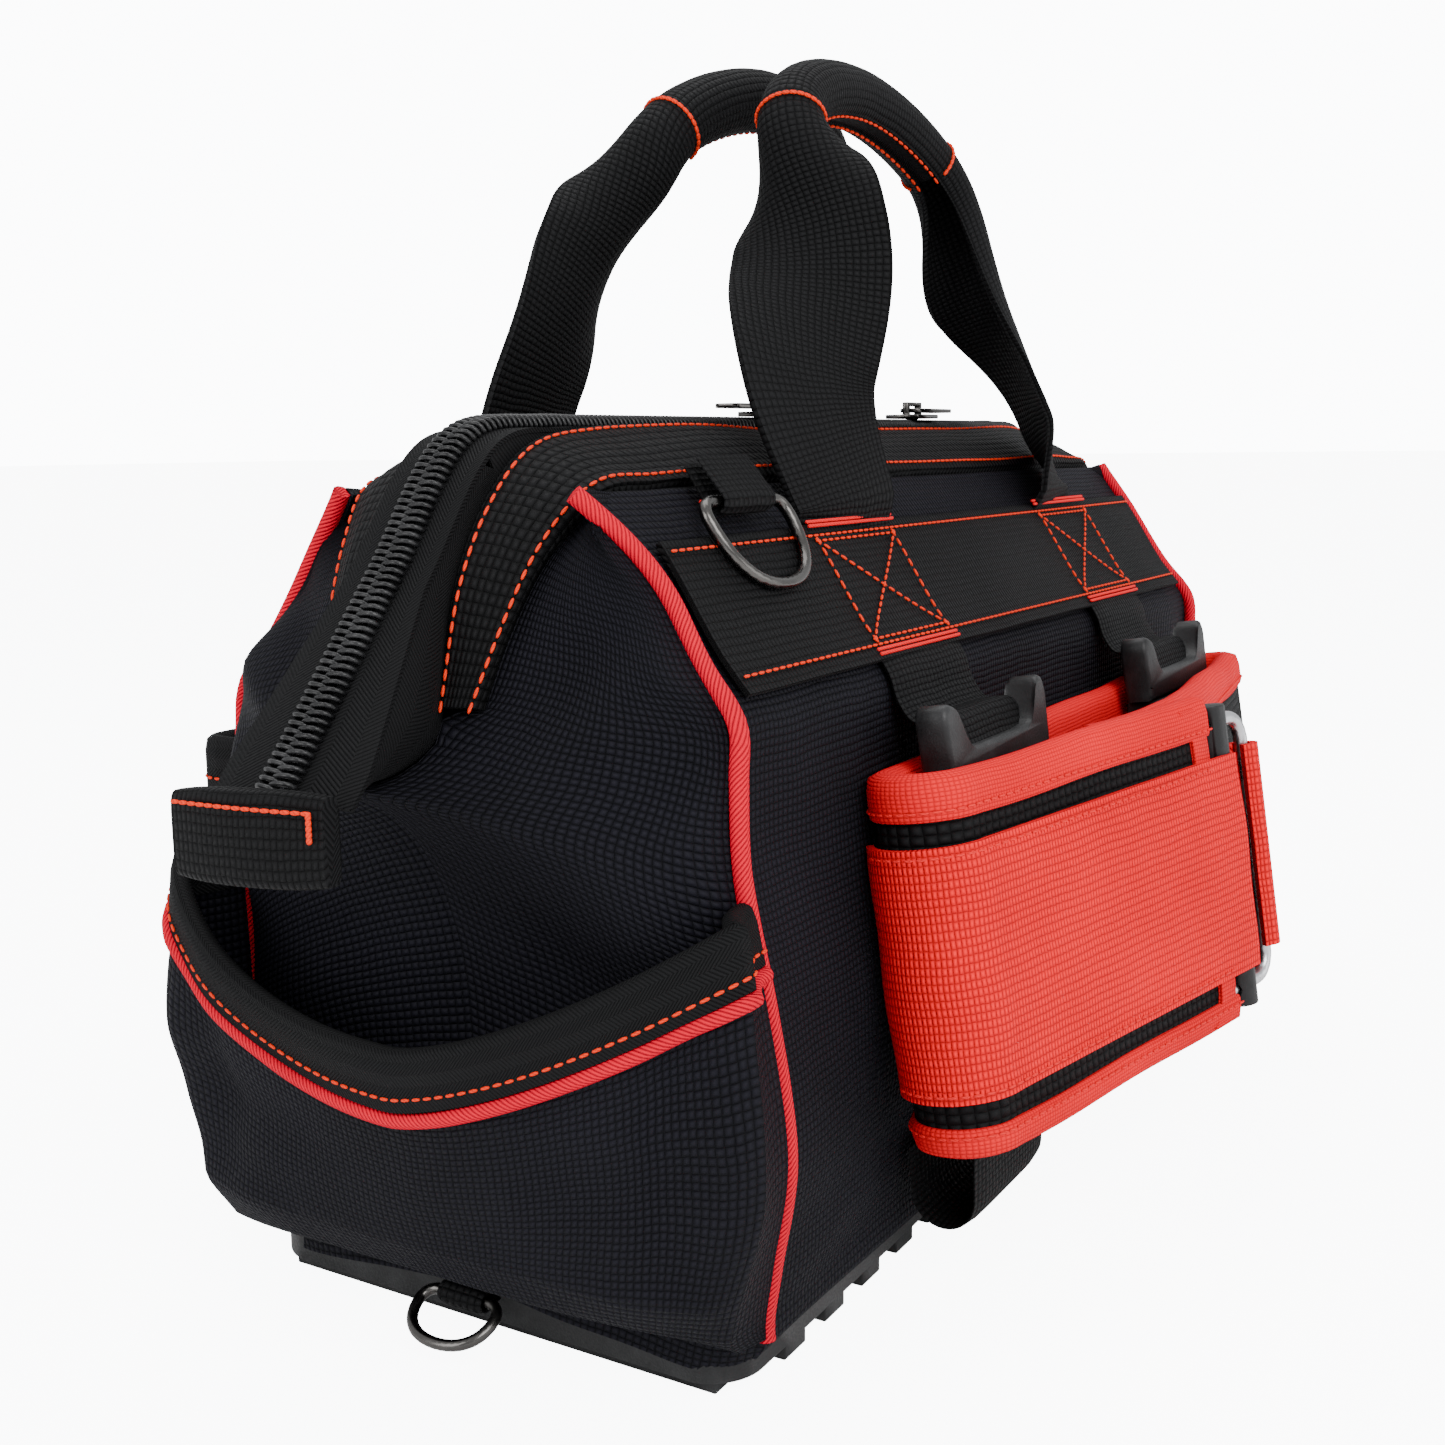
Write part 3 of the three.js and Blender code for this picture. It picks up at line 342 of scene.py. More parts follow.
def placed(wiring, group, **values):
    node = wiring.node("ShaderNodeGroup", node_tree=group)
    for key, value in values.items():
        wiring.feed(node.inputs[key.replace("_", " ")], value)
    return node.outputs


def bumped(wiring, shader, height, depth, strength=1.0):
    bump = wiring.node("ShaderNodeBump")
    wiring.feed(bump.inputs["Height"], height)
    wiring.feed(bump.inputs["Distance"], depth)
    wiring.feed(bump.inputs["Strength"], strength)
    wiring.feed(shader["Normal"], bump.outputs["Normal"])


def cloth(name, dark, light, pattern, pitches, depth, roughness=0.66, sheen=0.01, shine=0.07):
    """A cloth with its thread colour on the threads and a painted shade colour in the gaps between them, in linear
    colour.
    """
    made, wiring, shader = finish(name)
    uv = wiring.node("ShaderNodeUVMap", uv_map="UVMap").outputs["UV"]
    if pattern is weave:
        height = placed(wiring, weave, Vector=uv, Pitch_across=pitches[0], Pitch_along=pitches[1])["Height"]
    else:
        height = placed(wiring, twill, Vector=uv, Pitch=pitches[0], Column=pitches[1])["Height"]
    felt = placed(wiring, handling, Vector=uv)
    # Painted shade: the weave's height mixes the dark gap colour into the gaps between threads, and the broad
    # handling adds random lighter nap.
    gap_shade_and_nap = wiring.math("MULTIPLY_ADD", felt["Broad"], 0.25, wiring.math("MULTIPLY", height, 0.75))
    wiring.feed(shader["Base Color"], wiring.mix_color(gap_shade_and_nap, (*dark, 1), (*light, 1)))
    wiring.feed(shader["Roughness"], wiring.remap(felt["Fine"], 0.3, 0.7, roughness - 0.08, roughness + 0.08))
    shader["Sheen Weight"].default_value = sheen
    shader["Sheen Roughness"].default_value = 0.45
    shader["Sheen Tint"].default_value = (*[min(1, c * 6 + 0.1) for c in light], 1)
    shader["Specular IOR Level"].default_value = shine
    bumped(wiring, shader, height, depth)
    return made


def moulded(name, color, roughness):
    made, wiring, shader = finish(name)
    at = wiring.node("ShaderNodeTexCoord").outputs["Object"]
    grain = wiring.noise(at, 1800.0, 2.0)
    scuff = wiring.remap(wiring.noise(at, 40.0, 4.0, 0.65), 0.5, 0.75, 0.0, 1.0)
    lighter = tuple(min(1, c * 2.2 + 0.01) for c in color)
    wiring.feed(shader["Base Color"], wiring.mix_color(scuff, (*color, 1), (*lighter, 1)))
    wiring.feed(shader["Roughness"], wiring.remap(grain, 0.3, 0.7, roughness - 0.07, roughness + 0.1))
    shader["Specular IOR Level"].default_value = 0.3
    bumped(wiring, shader, grain, 0.00012, 0.5)
    return made


def plated(name, color, roughness):
    made, wiring, shader = finish(name)
    at = wiring.node("ShaderNodeTexCoord").outputs["Object"]
    cloud = wiring.noise(at, 220.0, 3.0)
    dull = tuple(c * 0.6 for c in color)
    wiring.feed(shader["Base Color"], wiring.mix_color(cloud, (*dull, 1), (*color, 1)))
    wiring.feed(shader["Roughness"], wiring.remap(cloud, 0.3, 0.7, roughness, roughness + 0.15))
    shader["Metallic"].default_value = 1.0
    bumped(wiring, shader, cloud, 0.00008, 0.3)
    return made


# The first colour of each cloth is painted shade, which cloth() mixes into the gaps between threads. The second is
# the threads' own colour. The orange and red thread finishes below are made the same way.
CLOTH_GAP_SHADE, CLOTH_THREAD = (0.0002, 0.0002, 0.0004), (0.0095, 0.0092, 0.0138)
WEB_GAP_SHADE, WEB_THREAD = (0.0002, 0.0002, 0.0002), (0.0085, 0.0085, 0.0092)
TAPE_GAP_SHADE, TAPE_THREAD = (0.0014, 0.0014, 0.0016), (0.0075, 0.0075, 0.008)
PIPING_GAP_SHADE, PIPING_THREAD = (0.26, 0.0006, 0.008), (0.72, 0.0012, 0.024)
BINDING_GAP_SHADE, BINDING_THREAD = (0.40, 0.0015, 0.004), (0.80, 0.006, 0.014)
BELT_GAP_SHADE, BELT_THREAD = (0.40, 0.001, 0.003), (0.95, 0.004, 0.013)
basket_cloth = cloth("basket polyester", CLOTH_GAP_SHADE, CLOTH_THREAD, weave, (0.0019, 0.0019), 0.0009)
ribbed_webbing = cloth("ribbed webbing", WEB_GAP_SHADE, WEB_THREAD, weave, (0.0022, 0.0017), 0.0007)
mesh_webbing = cloth("coarse collar webbing", WEB_GAP_SHADE, WEB_THREAD, weave, (0.0027, 0.0027), 0.0012)
zip_tape = cloth("zip tape", TAPE_GAP_SHADE, TAPE_THREAD, twill, (0.0011, 0.0045), 0.0003)
black_tape = cloth("binding tape", TAPE_GAP_SHADE, TAPE_THREAD, twill, (0.0011, 0.003), 0.0003)
red_piping = cloth("red piping", PIPING_GAP_SHADE, PIPING_THREAD, twill, (0.0014, 1.0), 0.0004, 0.7)
red_binding = cloth("red belt binding", BINDING_GAP_SHADE, BINDING_THREAD, weave, (0.0011, 0.0011), 0.00025, 0.75)
red_webbing = cloth("red belt webbing", BELT_GAP_SHADE, BELT_THREAD, weave, (0.0021, 0.0013), 0.0007, 0.7)
orange_thread = cloth("orange thread", (0.5, 0.016, 0.003), (0.8, 0.04, 0.008), twill, (0.0006, 1.0), 0.0001, 0.6)
red_thread = cloth("red thread", (0.45, 0.006, 0.008), (0.8, 0.016, 0.02), twill, (0.0006, 1.0), 0.0001, 0.6)
black_plastic = moulded("moulded black plastic", (0.0045, 0.0045, 0.005), 0.45)
coil_plastic = moulded("zip coil nylon", (0.004, 0.004, 0.0045), 0.30)
dark_nickel = plated("dark nickel plate", (0.11, 0.105, 0.10), 0.18)
bright_wire = plated("bright plated wire", (0.62, 0.62, 0.64), 0.22)
fibre_board = moulded("fibre board", (0.02, 0.018, 0.016), 0.7)
print(len(bpy.data.materials), "finishes")

# %% [markdown]
# ## Making swept shapes
# Nearly every soft piece here is a strip or a shell: a closed outline that is carried
# along a path. One helper skins a row of outlines, closes both ends, points the faces
# outward, and lays a UV map in metres along and around it, so that every weave has
# its true size and follows the cloth.


# %% Curves
def smooth_curve(points, count):
    """A centripetal Catmull-Rom curve through points, as count points evenly spaced."""
    p = np.array(points, float)
    p = np.vstack([2 * p[0] - p[1], p, 2 * p[-1] - p[-2]])
    dense = []
    for i in range(1, len(p) - 2):
        a, b, c, d = p[i - 1 : i + 3]
        knots = np.cumsum([0] + [max(np.linalg.norm(y - x), 1e-6) ** 0.5 for x, y in ((a, b), (b, c), (c, d))])
        t = np.linspace(knots[1], knots[2], 24, endpoint=False)[:, None]
        ab = (a * (knots[1] - t) + b * (t - knots[0])) / (knots[1] - knots[0])
        bc = (b * (knots[2] - t) + c * (t - knots[1])) / (knots[2] - knots[1])
        cd = (c * (knots[3] - t) + d * (t - knots[2])) / (knots[3] - knots[2])
        abc = (ab * (knots[2] - t) + bc * (t - knots[0])) / (knots[2] - knots[0])
        bcd = (bc * (knots[3] - t) + cd * (t - knots[1])) / (knots[3] - knots[1])
        dense.append((abc * (knots[2] - t) + bcd * (t - knots[1])) / (knots[2] - knots[1]))
    return evenly(np.vstack([*dense, p[-2:-1]]), count)


def evenly(points, count):
    points = np.asarray(points, float)
    steps = np.linalg.norm(np.diff(points, axis=0), axis=1)
    at = np.concatenate([[0], np.cumsum(steps)])
    wanted = np.linspace(0, at[-1], count)
    return np.stack([np.interp(wanted, at, points[:, k]) for k in range(points.shape[1])], 1)


def length_of(line):
    return float(np.linalg.norm(np.diff(line, axis=0), axis=1).sum())


def unit(vectors):
    vectors = np.asarray(vectors, float)
    return vectors / np.maximum(np.linalg.norm(vectors, axis=-1, keepdims=True), 1e-12)


def directions(points):
    return unit(np.gradient(np.asarray(points, float), axis=0))


def arc(centre, radius, start, end, count):
    angles = np.radians(np.linspace(start, end, count))
    return np.stack([centre[0] + radius * np.cos(angles), centre[1] + radius * np.sin(angles)], 1)


def ripple(points, size, seed, strength=1.0):
    """Soft, repeatable unevenness: a sum of long waves, about -1 to 1."""
    random = np.random.default_rng(seed)
    total = np.zeros(points.shape[:-1])
    for _ in range(9):
        way = unit(random.normal(size=3))
        length = size * random.uniform(0.7, 1.7)
        total += np.sin(points @ way * 2 * math.pi / length + random.uniform(0, 2 * math.pi))
    return strength * total / 3.0


def fold(points, start, end, width, depth):
    """How far a crease from start to end lifts each point: a ridge, or a valley if depth is below 0."""
    start, end = np.array(start, float), np.array(end, float)
    way = end - start
    t = np.clip(((points - start) @ way) / (way @ way), 0, 1)
    apart = np.linalg.norm(points - (start + t[..., None] * way), axis=-1)
    fade = np.sin(np.clip(0.12 + 0.88 * t, 0, 1) * math.pi) ** 0.5
    return depth * np.exp(-((apart / width) ** 2)) * fade


# %% Meshes from outlines
def keep_mesh(name, verts, faces, loop_uv, material, smooth_angle):
    mesh = bpy.data.meshes.new(name)
    mesh.from_pydata((np.asarray(verts) * MM).tolist(), [], faces)
    layer = mesh.uv_layers.new(name="UVMap")
    layer.data.foreach_set("uv", (np.asarray(loop_uv, float) * MM).ravel())
    mesh.materials.append(material)
    mesh.validate()
    mesh.shade_smooth()
    if smooth_angle:
        mesh.set_sharp_from_angle(angle=math.radians(smooth_angle))
    piece = bpy.data.objects.new(name, mesh)
    bpy.context.scene.collection.objects.link(piece)
    return piece


def swept(name, rings, material, smooth_angle=50, caps=True):
    """Skins closed outlines (rows, points, 3), given in millimetres."""
    rings = np.asarray(rings, float)
    rows, count = rings.shape[:2]
    around = np.linalg.norm(np.diff(np.concatenate([rings, rings[:, :1]], 1), axis=1), axis=2).mean(0)
    u = np.concatenate([[0], np.cumsum(around)])
    v = np.concatenate([[0], np.cumsum(np.linalg.norm(np.diff(rings, axis=0), axis=2).mean(1))])
    verts = rings.reshape(-1, 3)
    faces, uv = [], []
    for i in range(rows - 1):
        for j in range(count):
            k = (j + 1) % count
            faces.append((i * count + j, i * count + k, (i + 1) * count + k, (i + 1) * count + j))
            uv += [(u[j], v[i]), (u[j + 1], v[i]), (u[j + 1], v[i + 1]), (u[j], v[i + 1])]
    if caps:
        for row, order in ((0, range(count - 1, -1, -1)), (rows - 1, range(count))):
            faces.append(tuple(row * count + j for j in order))
            uv += [(u[j], v[row]) for j in order]
    a, b, c = (np.array([verts[f[n]] for f in faces]) for n in (0, 1, 2))
    d = np.array([verts[f[-1]] for f in faces])
    volume = np.einsum("ij,ij->i", a, np.cross(b, c)).sum() + np.einsum("ij,ij->i", a, np.cross(c, d)).sum()
    if caps and volume < 0:
        flipped, start = [], 0
        for f in faces:
            flipped += uv[start : start + len(f)][::-1]
            start += len(f)
        faces, uv = [f[::-1] for f in faces], flipped
    return keep_mesh(name, verts, faces, uv, material, smooth_angle)


def surface_normals(grid, outward):
    """Normals of a grid of points, turned to agree with an outward direction."""
    normal = unit(np.cross(np.gradient(grid, axis=0), np.gradient(grid, axis=1)))
    flip = np.sign((normal * outward).sum(-1).mean()) or 1
    return normal * flip


def sheet(name, grid, thickness, material, outward):
    """A sheet of cloth whose outer face is the grid (along, across, 3)."""
    inner = grid - surface_normals(grid, outward) * thickness
    rings = np.concatenate([grid, inner[:, ::-1]], axis=1)
    return swept(name, rings, material)


def strap(name, line, across, facing, width, thickness, material, columns=9):
    """Flat webbing: across and facing are unit directions at each point of its line."""
    side = np.linspace(-0.5, 0.5, columns)
    edge = 1 - (2 * np.abs(side)) ** 8
    width = np.broadcast_to(width, len(line))[:, None, None]
    flat = line[:, None] + across[:, None] * side[None, :, None] * width
    lift = facing[:, None] * (0.5 * thickness * np.clip(edge, 0.25, 1))[None, :, None]
    return swept(name, np.concatenate([flat + lift, (flat - lift)[:, ::-1]], axis=1), material, 60)


def tube(name, line, radius, material, sides=10):
    """A round cord along a line."""
    along = directions(line)
    across = unit(np.cross(along, [0.31, 0.17, 0.94]))
    third = np.cross(along, across)
    turn = np.linspace(0, 2 * math.pi, sides, endpoint=False)
    radius = np.broadcast_to(radius, len(line))[:, None, None]
    ring = across[:, None] * np.cos(turn)[None, :, None] + third[:, None] * np.sin(turn)[None, :, None]
    return swept(name, line[:, None] + ring * radius, material, 70)


def with_bodies(piece, body, replaces=()):
    """Rides on one body. Where body is (a, b, start, end), these values are not used: the piece is only baked in
    place and rides on no body.
    """
    if isinstance(body, str):
        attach(piece, body)
    else:
        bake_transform(piece)
    if replaces:
        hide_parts(*replaces)
    return piece


print("shape helpers ready")

# %% [markdown]
# ## Things that repeat along a path
# Stitches and zip teeth are one small shape placed again and again. A Geometry Nodes
# tree does that: it turns a line into evenly spaced points, puts the shape on each
# point with its length along the line, and makes the copies real. The line is a mesh
# of edges, and the result is turned into a plain mesh before it rides on its body.


# %% Repeat tree
def repeat_tree():
    tree = bpy.data.node_groups.new("repeat along a line", "GeometryNodeTree")
    tree.interface.new_socket("Geometry", in_out="INPUT", socket_type="NodeSocketGeometry")
    for title, kind, value in (("Pitch", FLOAT, 0.004), ("Size", "NodeSocketVector", (1, 1, 1))):
        tree.interface.new_socket(title, in_out="INPUT", socket_type=kind).default_value = value
    tree.interface.new_socket("Shape", in_out="INPUT", socket_type="NodeSocketObject")
    tree.interface.new_socket("Finish", in_out="INPUT", socket_type="NodeSocketMaterial")
    tree.interface.new_socket("Geometry", in_out="OUTPUT", socket_type="NodeSocketGeometry")
    w = Wiring(tree)
    given, out = w.node("NodeGroupInput").outputs, w.node("NodeGroupOutput").inputs
    line = w.node("GeometryNodeMeshToCurve")
    w.feed(line.inputs["Mesh"], given["Geometry"])
    points = w.node("GeometryNodeCurveToPoints", mode="LENGTH")
    w.feed(points.inputs["Curve"], line.outputs["Curve"])
    w.feed(points.inputs["Length"], given["Pitch"])
    turn = w.node("FunctionNodeAlignRotationToVector", axis="X")
    w.feed(turn.inputs["Vector"], points.outputs["Tangent"])
    shape = w.node("GeometryNodeObjectInfo")
    w.feed(shape.inputs["Object"], given["Shape"])
    copies = w.node("GeometryNodeInstanceOnPoints")
    w.feed(copies.inputs["Points"], points.outputs["Points"])
    w.feed(copies.inputs["Instance"], shape.outputs["Geometry"])
    w.feed(copies.inputs["Rotation"], turn.outputs["Rotation"])
    w.feed(copies.inputs["Scale"], given["Size"])
    real = w.node("GeometryNodeRealizeInstances")
    w.feed(real.inputs["Geometry"], copies.outputs["Instances"])
    painted = w.node("GeometryNodeSetMaterial")
    w.feed(painted.inputs["Geometry"], real.outputs["Geometry"])
    w.feed(painted.inputs["Material"], given["Finish"])
    w.feed(out["Geometry"], painted.outputs["Geometry"])
    return tree


repeating = repeat_tree()


def repeat_along(name, lines, shape, pitch, size, material):
    """Copies of a shape along lines given in millimetres, as one plain mesh."""
    verts, edges = [], []
    for line in lines:
        edges += [(len(verts) + i, len(verts) + i + 1) for i in range(len(line) - 1)]
        verts += (np.asarray(line) * MM).tolist()
    mesh = bpy.data.meshes.new(name + " line")
    mesh.from_pydata(verts, edges, [])
    carrier = bpy.data.objects.new(name + " line", mesh)
    bpy.context.scene.collection.objects.link(carrier)
    modifier = carrier.modifiers.new("repeat", "NODES")
    modifier.node_group = repeating
    sockets = {s.name: s.identifier for s in repeating.interface.items_tree if s.in_out == "INPUT"}
    for title, value in (("Pitch", pitch * MM), ("Size", size), ("Shape", shape), ("Finish", material)):
        modifier[sockets[title]] = value
    graph = bpy.context.evaluated_depsgraph_get()
    made = bpy.data.meshes.new_from_object(carrier.evaluated_get(graph), depsgraph=graph)
    bpy.data.objects.remove(carrier)
    made.name = name
    made.shade_smooth()
    piece = bpy.data.objects.new(name, made)
    bpy.context.scene.collection.objects.link(piece)
    return piece


# %% The stitch and tooth shapes
def capsule_mesh():
    """A thread seen from outside the cloth: a short, fat, rounded bar, one unit long."""
    along = np.array([-0.5, -0.42, -0.2, 0.2, 0.42, 0.5])
    radius = np.array([0.12, 0.36, 0.5, 0.5, 0.36, 0.12])
    turn = np.linspace(0, 2 * math.pi, 6, endpoint=False)
    rings = [[(x, r * math.cos(t), r * math.sin(t)) for t in turn] for x, r in zip(along, radius)]
    return np.array(rings)


def pattern_object(name, rings):
    """A shape that the repeat tree copies. It is hidden, and isn't a piece of the bag."""
    shape = swept(name, rings, orange_thread, 0)
    for vertex in shape.data.vertices:
        vertex.co /= MM
    shape.hide_render = True
    shape.hide_viewport = True
    return shape


stitch_shape = pattern_object("stitch_shape", capsule_mesh())


def stitches(name, lines, body, material=orange_thread, pitch=3.6, length=2.7, thick=0.85, slot="webbing"):
    size = (length * MM, thick * MM, thick * MM)
    piece = repeat_along(name, lines, stitch_shape, pitch, size, material)
    return with_bodies(piece, body)


print("repeat tree has", len(repeating.nodes), "nodes")

# %% [markdown]
# ## Rounded copies of the hard pieces
# The tray, buckles, sliders and rings already have the right shape in the CAD model,
# but their edges are sharp. Each one is copied, its loose triangles are merged, and a
# small bevel or a subdivision softens it as moulding and plating do.


# %% Rounded copies
def rounded_copy(node, material, bevel=0.0, segments=2, subdivide=0, angle=35):
    source = frame["nodes"][node]
    mesh = source.data.copy()
    mesh.name = node + "_finished"
    piece = bpy.data.objects.new(node + "_finished", mesh)
    bpy.context.scene.collection.objects.link(piece)
    mesh.materials.clear()
    mesh.materials.append(material)
    weld = piece.modifiers.new("weld", "WELD")
    weld.merge_threshold = 0.00002
    if bevel:
        flat = piece.modifiers.new("flat", "DECIMATE")
        flat.decimate_type = "DISSOLVE"
        flat.angle_limit = math.radians(4)
        soften = piece.modifiers.new("soften", "BEVEL")
        soften.width = bevel * MM
        soften.segments = segments
        soften.limit_method = "ANGLE"
        soften.angle_limit = math.radians(angle)
        soften.harden_normals = True
    if subdivide:
        smoother = piece.modifiers.new("smoother", "SUBSURF")
        smoother.levels = smoother.render_levels = subdivide
    graph = bpy.context.evaluated_depsgraph_get()
    made = bpy.data.meshes.new_from_object(piece.evaluated_get(graph), depsgraph=graph)
    piece.modifiers.clear()
    piece.data = made
    made.shade_smooth()
    if not subdivide:
        made.set_sharp_from_angle(angle=math.radians(38))
    return with_bodies(piece, source["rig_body"], [node])


ENDS = (("near", -1), ("far", 1))
SIDES = (("front", -1), ("rear", 1))
rounded_copy("base_tray", black_plastic, bevel=0.9)
for end, _ in ENDS:
    rounded_copy(f"{end}_slider", dark_nickel, bevel=0.35)
    rounded_copy(f"{end}_pull", dark_nickel, bevel=0.3)
    rounded_copy(f"{end}_base_ring", dark_nickel, subdivide=1)
    for part in ("buckle_lower", "prong_left", "prong_right"):
        rounded_copy(f"{end}_{part}", black_plastic, bevel=0.8 if "buckle" in part else 0.4)
for side, _ in SIDES:
    rounded_copy(f"{side}_ring", dark_nickel, subdivide=1)
    frame["nodes"][f"{side}_frame_rod"].data.materials.clear()
    frame["nodes"][f"{side}_frame_rod"].data.materials.append(bright_wire)
rounded_copy("belt_frame", bright_wire, subdivide=1)
rounded_copy("belt_slide_bar", black_plastic, bevel=0.6)
frame["nodes"]["base_board"].data.materials.clear()
frame["nodes"]["base_board"].data.materials.append(fibre_board)
print("hard pieces finished")

# %% [markdown]
# ## Two helpers for sheets
# A grid that is drawn by rule can bunch up where it turns sharply. Moving each inner
# point towards the middle of its neighbours evens it out.


# %% Relaxing a sheet
def relaxed(grid, times):
    """Evens out a grid between its fixed edges, as cloth under tension does."""
    for _ in range(times):
        middle = (grid[:-2, 1:-1] + grid[2:, 1:-1] + grid[1:-1, :-2] + grid[1:-1, 2:]) / 4
        grid[1:-1, 1:-1] = 0.4 * grid[1:-1, 1:-1] + 0.6 * middle
    return grid


# %% [markdown]
# ## The cloth body
# The bag is a soft box: its front and rear swell out between the moulded base and a
# crease, and lean in above the crease to the mouth. Each side is one sheet of cloth
# from base to rim. The real cloth bends where the mouth hinges; this sheet is only
# baked in place, and rides on neither the body nor its half of the mouth.

# %% Side profile
HALF_LENGTH = 181.0
SEAM_X = 170.0
RIM_Z = 213
CLOTH_THICK = 1.6
CREASE_BULGE, NEAR_FLARE, PLAIN_FLARE = 8, 14, 4


def seam_x(height, sign=-1, way=-1):
    """Where a corner seam stands: it bulges near the crease, and runs outwards as it nears the rim."""
    height = np.asarray(height, float)
    near_rim = np.clip((height - 184) / 29, 0, 1)
    flare = NEAR_FLARE if sign < 0 and way < 0 else PLAIN_FLARE
    return SEAM_X + flare * near_rim * near_rim + CREASE_BULGE * np.exp(-(((height - 140) / 45) ** 2))


side_points = [(73.5, 6), (77.2, 11), (76.6, 17), (79, 34), (83.1, 58.6), (80.4, 95.9), (75.9, 130.4), (75.2, 150)]
side_points += [(74.4, 162), (64.6, 174.8), (50.6, 196.7), (38, RIM_Z)]
side_profile = smooth_curve(side_points, 73)


def depth_at(height):
    return np.interp(height, side_profile[:, 1], side_profile[:, 0])


def hinge_of(side):
    sign = dict(SIDES)[side]
    return ("bag_body", f"{side}_mouth", (0, sign * 75, 150), (0, sign * 73, 170))


def cloth_side(side, sign):
    x = np.linspace(-1, 1, 86)
    grid = np.empty((len(x), len(side_profile), 3))
    for part, way in ((x < 0, -1), (x >= 0, 1)):
        grid[part, :, 0] = x[part, None] * seam_x(side_profile[None, :, 1], sign, way)
    grid[..., 1] = sign * side_profile[None, :, 0]
    grid[..., 2] = side_profile[None, :, 1]
    lift = ripple(grid, 120, 3 if sign < 0 else 4, 1.0)
    lift += fold(grid, (-160, sign * 76, 150), (-60, sign * 80, 100), 14, 1.8)
    lift += fold(grid, (-165, sign * 80, 90), (-90, sign * 82, 40), 16, -1.8)
    lift += fold(grid, (165, sign * 76, 150), (70, sign * 80, 95), 15, 1.6)
    lift += fold(grid, (-165, sign * 76, 20), (-110, sign * 78, 34), 9, 1.6)
    lift += fold(grid, (-20, sign * 77, 18), (60, sign * 80, 42), 12, -1.5)
    held = np.minimum(1, (SEAM_X - np.abs(grid[..., 0])) / 18) * np.clip((RIM_Z - grid[..., 2]) / 30, 0, 1)
    grid[..., 1] += sign * lift * held
    piece = sheet(f"{side}_cloth", grid, CLOTH_THICK, basket_cloth, np.array([0, sign, 0.2]))
    with_bodies(piece, hinge_of(side), [f"{side}_lower_panel", f"{side}_upper_panel"])


for side, sign in SIDES:
    cloth_side(side, sign)
print("side cloth rises to", round(side_profile[-1, 1], 1), "mm")

# %% [markdown]
# ## Mouth edges
# Two lines run along the mouth on each side: the outer edge of the stiff webbing
# collar, and its inner edge beside the zip. Both turn down over the ends. The collar,
# the end cloth and the stitch rows all use them.

# %% Collar lines
collar_outer = [(-120, 37, 216), (-36, 37, 216), (-10, 36, 214), (4, 31, 201), (14, 27, 184), (22, 23, 166)]
inner_points = [(-120, 229), (-36, 229), (-10, 224), (6, 211), (17, 193), (24, 166)]
collar_inner = [(past, 14.2, z) for past, z in inner_points]


def over_the_mouth(half, sign, count):
    """A line over the whole mouth from its half, given as (past the end panel, y, z)."""
    far = [(HALF_LENGTH + past, sign * y, z) for past, y, z in half]
    near = [(-x, y, z) for x, y, z in far[::-1]]
    return smooth_curve(near + far, count)


COLLAR_ROWS = 150
collar_edges = {}
for side, sign in SIDES:
    outer = over_the_mouth(collar_outer, sign, COLLAR_ROWS)
    inner = over_the_mouth(collar_inner, sign, COLLAR_ROWS)
    ahead = directions(inner)
    facing = unit(np.cross(ahead, inner - outer)) * -sign
    collar_edges[side] = (outer, inner, facing)
print("collar edges, mm:", round(length_of(outer)), "outside and", round(length_of(inner)), "inside")


# %% [markdown]
# ## End cloth
# At each end the cloth turns the corner at the red piping. Low down it crosses flat to
# the other side, and near the mouth it climbs to the leg of the collar. Each end is
# made of two sheets that meet in the middle, one for each half of the mouth; they are
# only baked in place and don't ride on it. A sheet starts at the corner seam and
# finishes on one line: up the middle of the end, back under the tongue, and up the leg
# of the collar. Soft folds run from the corners towards the tongue of the zip.


# %% Where the end cloth finishes
UNDER_COLLAR = 3.0


def under_collar(side, way):
    """The collar's inner edge past one end panel, on its underside."""
    _, inner, facing = collar_edges[side]
    return (inner - facing * UNDER_COLLAR)[inner[:, 0] * way > 178]


def tongue_foot(side, sign, way):
    """From the inner edge of the collar's foot down to the tip of the tongue."""
    under = under_collar(side, way)
    foot = under[np.argmin(under[:, 2])]
    below = [(way * 205, sign * 13, 158), (way * 216, sign * 8, 151), (way * 229, sign * 2, 151)]
    return smooth_curve([foot, *below], 20)


def leg_line(side, way, count):
    """The outer edge of the collar's leg at one end, from its foot up to the rim."""
    outer, _, facing = collar_edges[side]
    edge = outer - facing * 5.5
    leg = edge[edge[:, 0] * way > 0]
    leg = leg[::-1] if way > 0 else leg
    return evenly(leg[np.abs(leg[:, 0]) > 158], count)


END_RIDGE = [(181, 0, 12), (181, 0, 60), (182, 0, 92), (187, 0, 113), (197, 0, 131), (211, 0, 143), (226, 0, 149)]
RIDGE_ROWS, BACK_ROWS, LEG_ROWS = 36, 8, 22


def finish_line(way, side, sign):
    """Up the middle of the end, back under the tongue to the collar's foot, and up its leg."""
    ridge = evenly(smooth_curve(END_RIDGE, 60), RIDGE_ROWS) * [way, 1, 1]
    leg = leg_line(side, way, LEG_ROWS)
    back = np.vstack([tongue_foot(side, sign, way)[::-1], leg[:1]]) - [0, 0, 0.6]
    return np.vstack([ridge, evenly(back, BACK_ROWS + 1)[:-1], leg])


print("end cloth finishes over", round(length_of(finish_line(-1, "front", -1))), "mm")


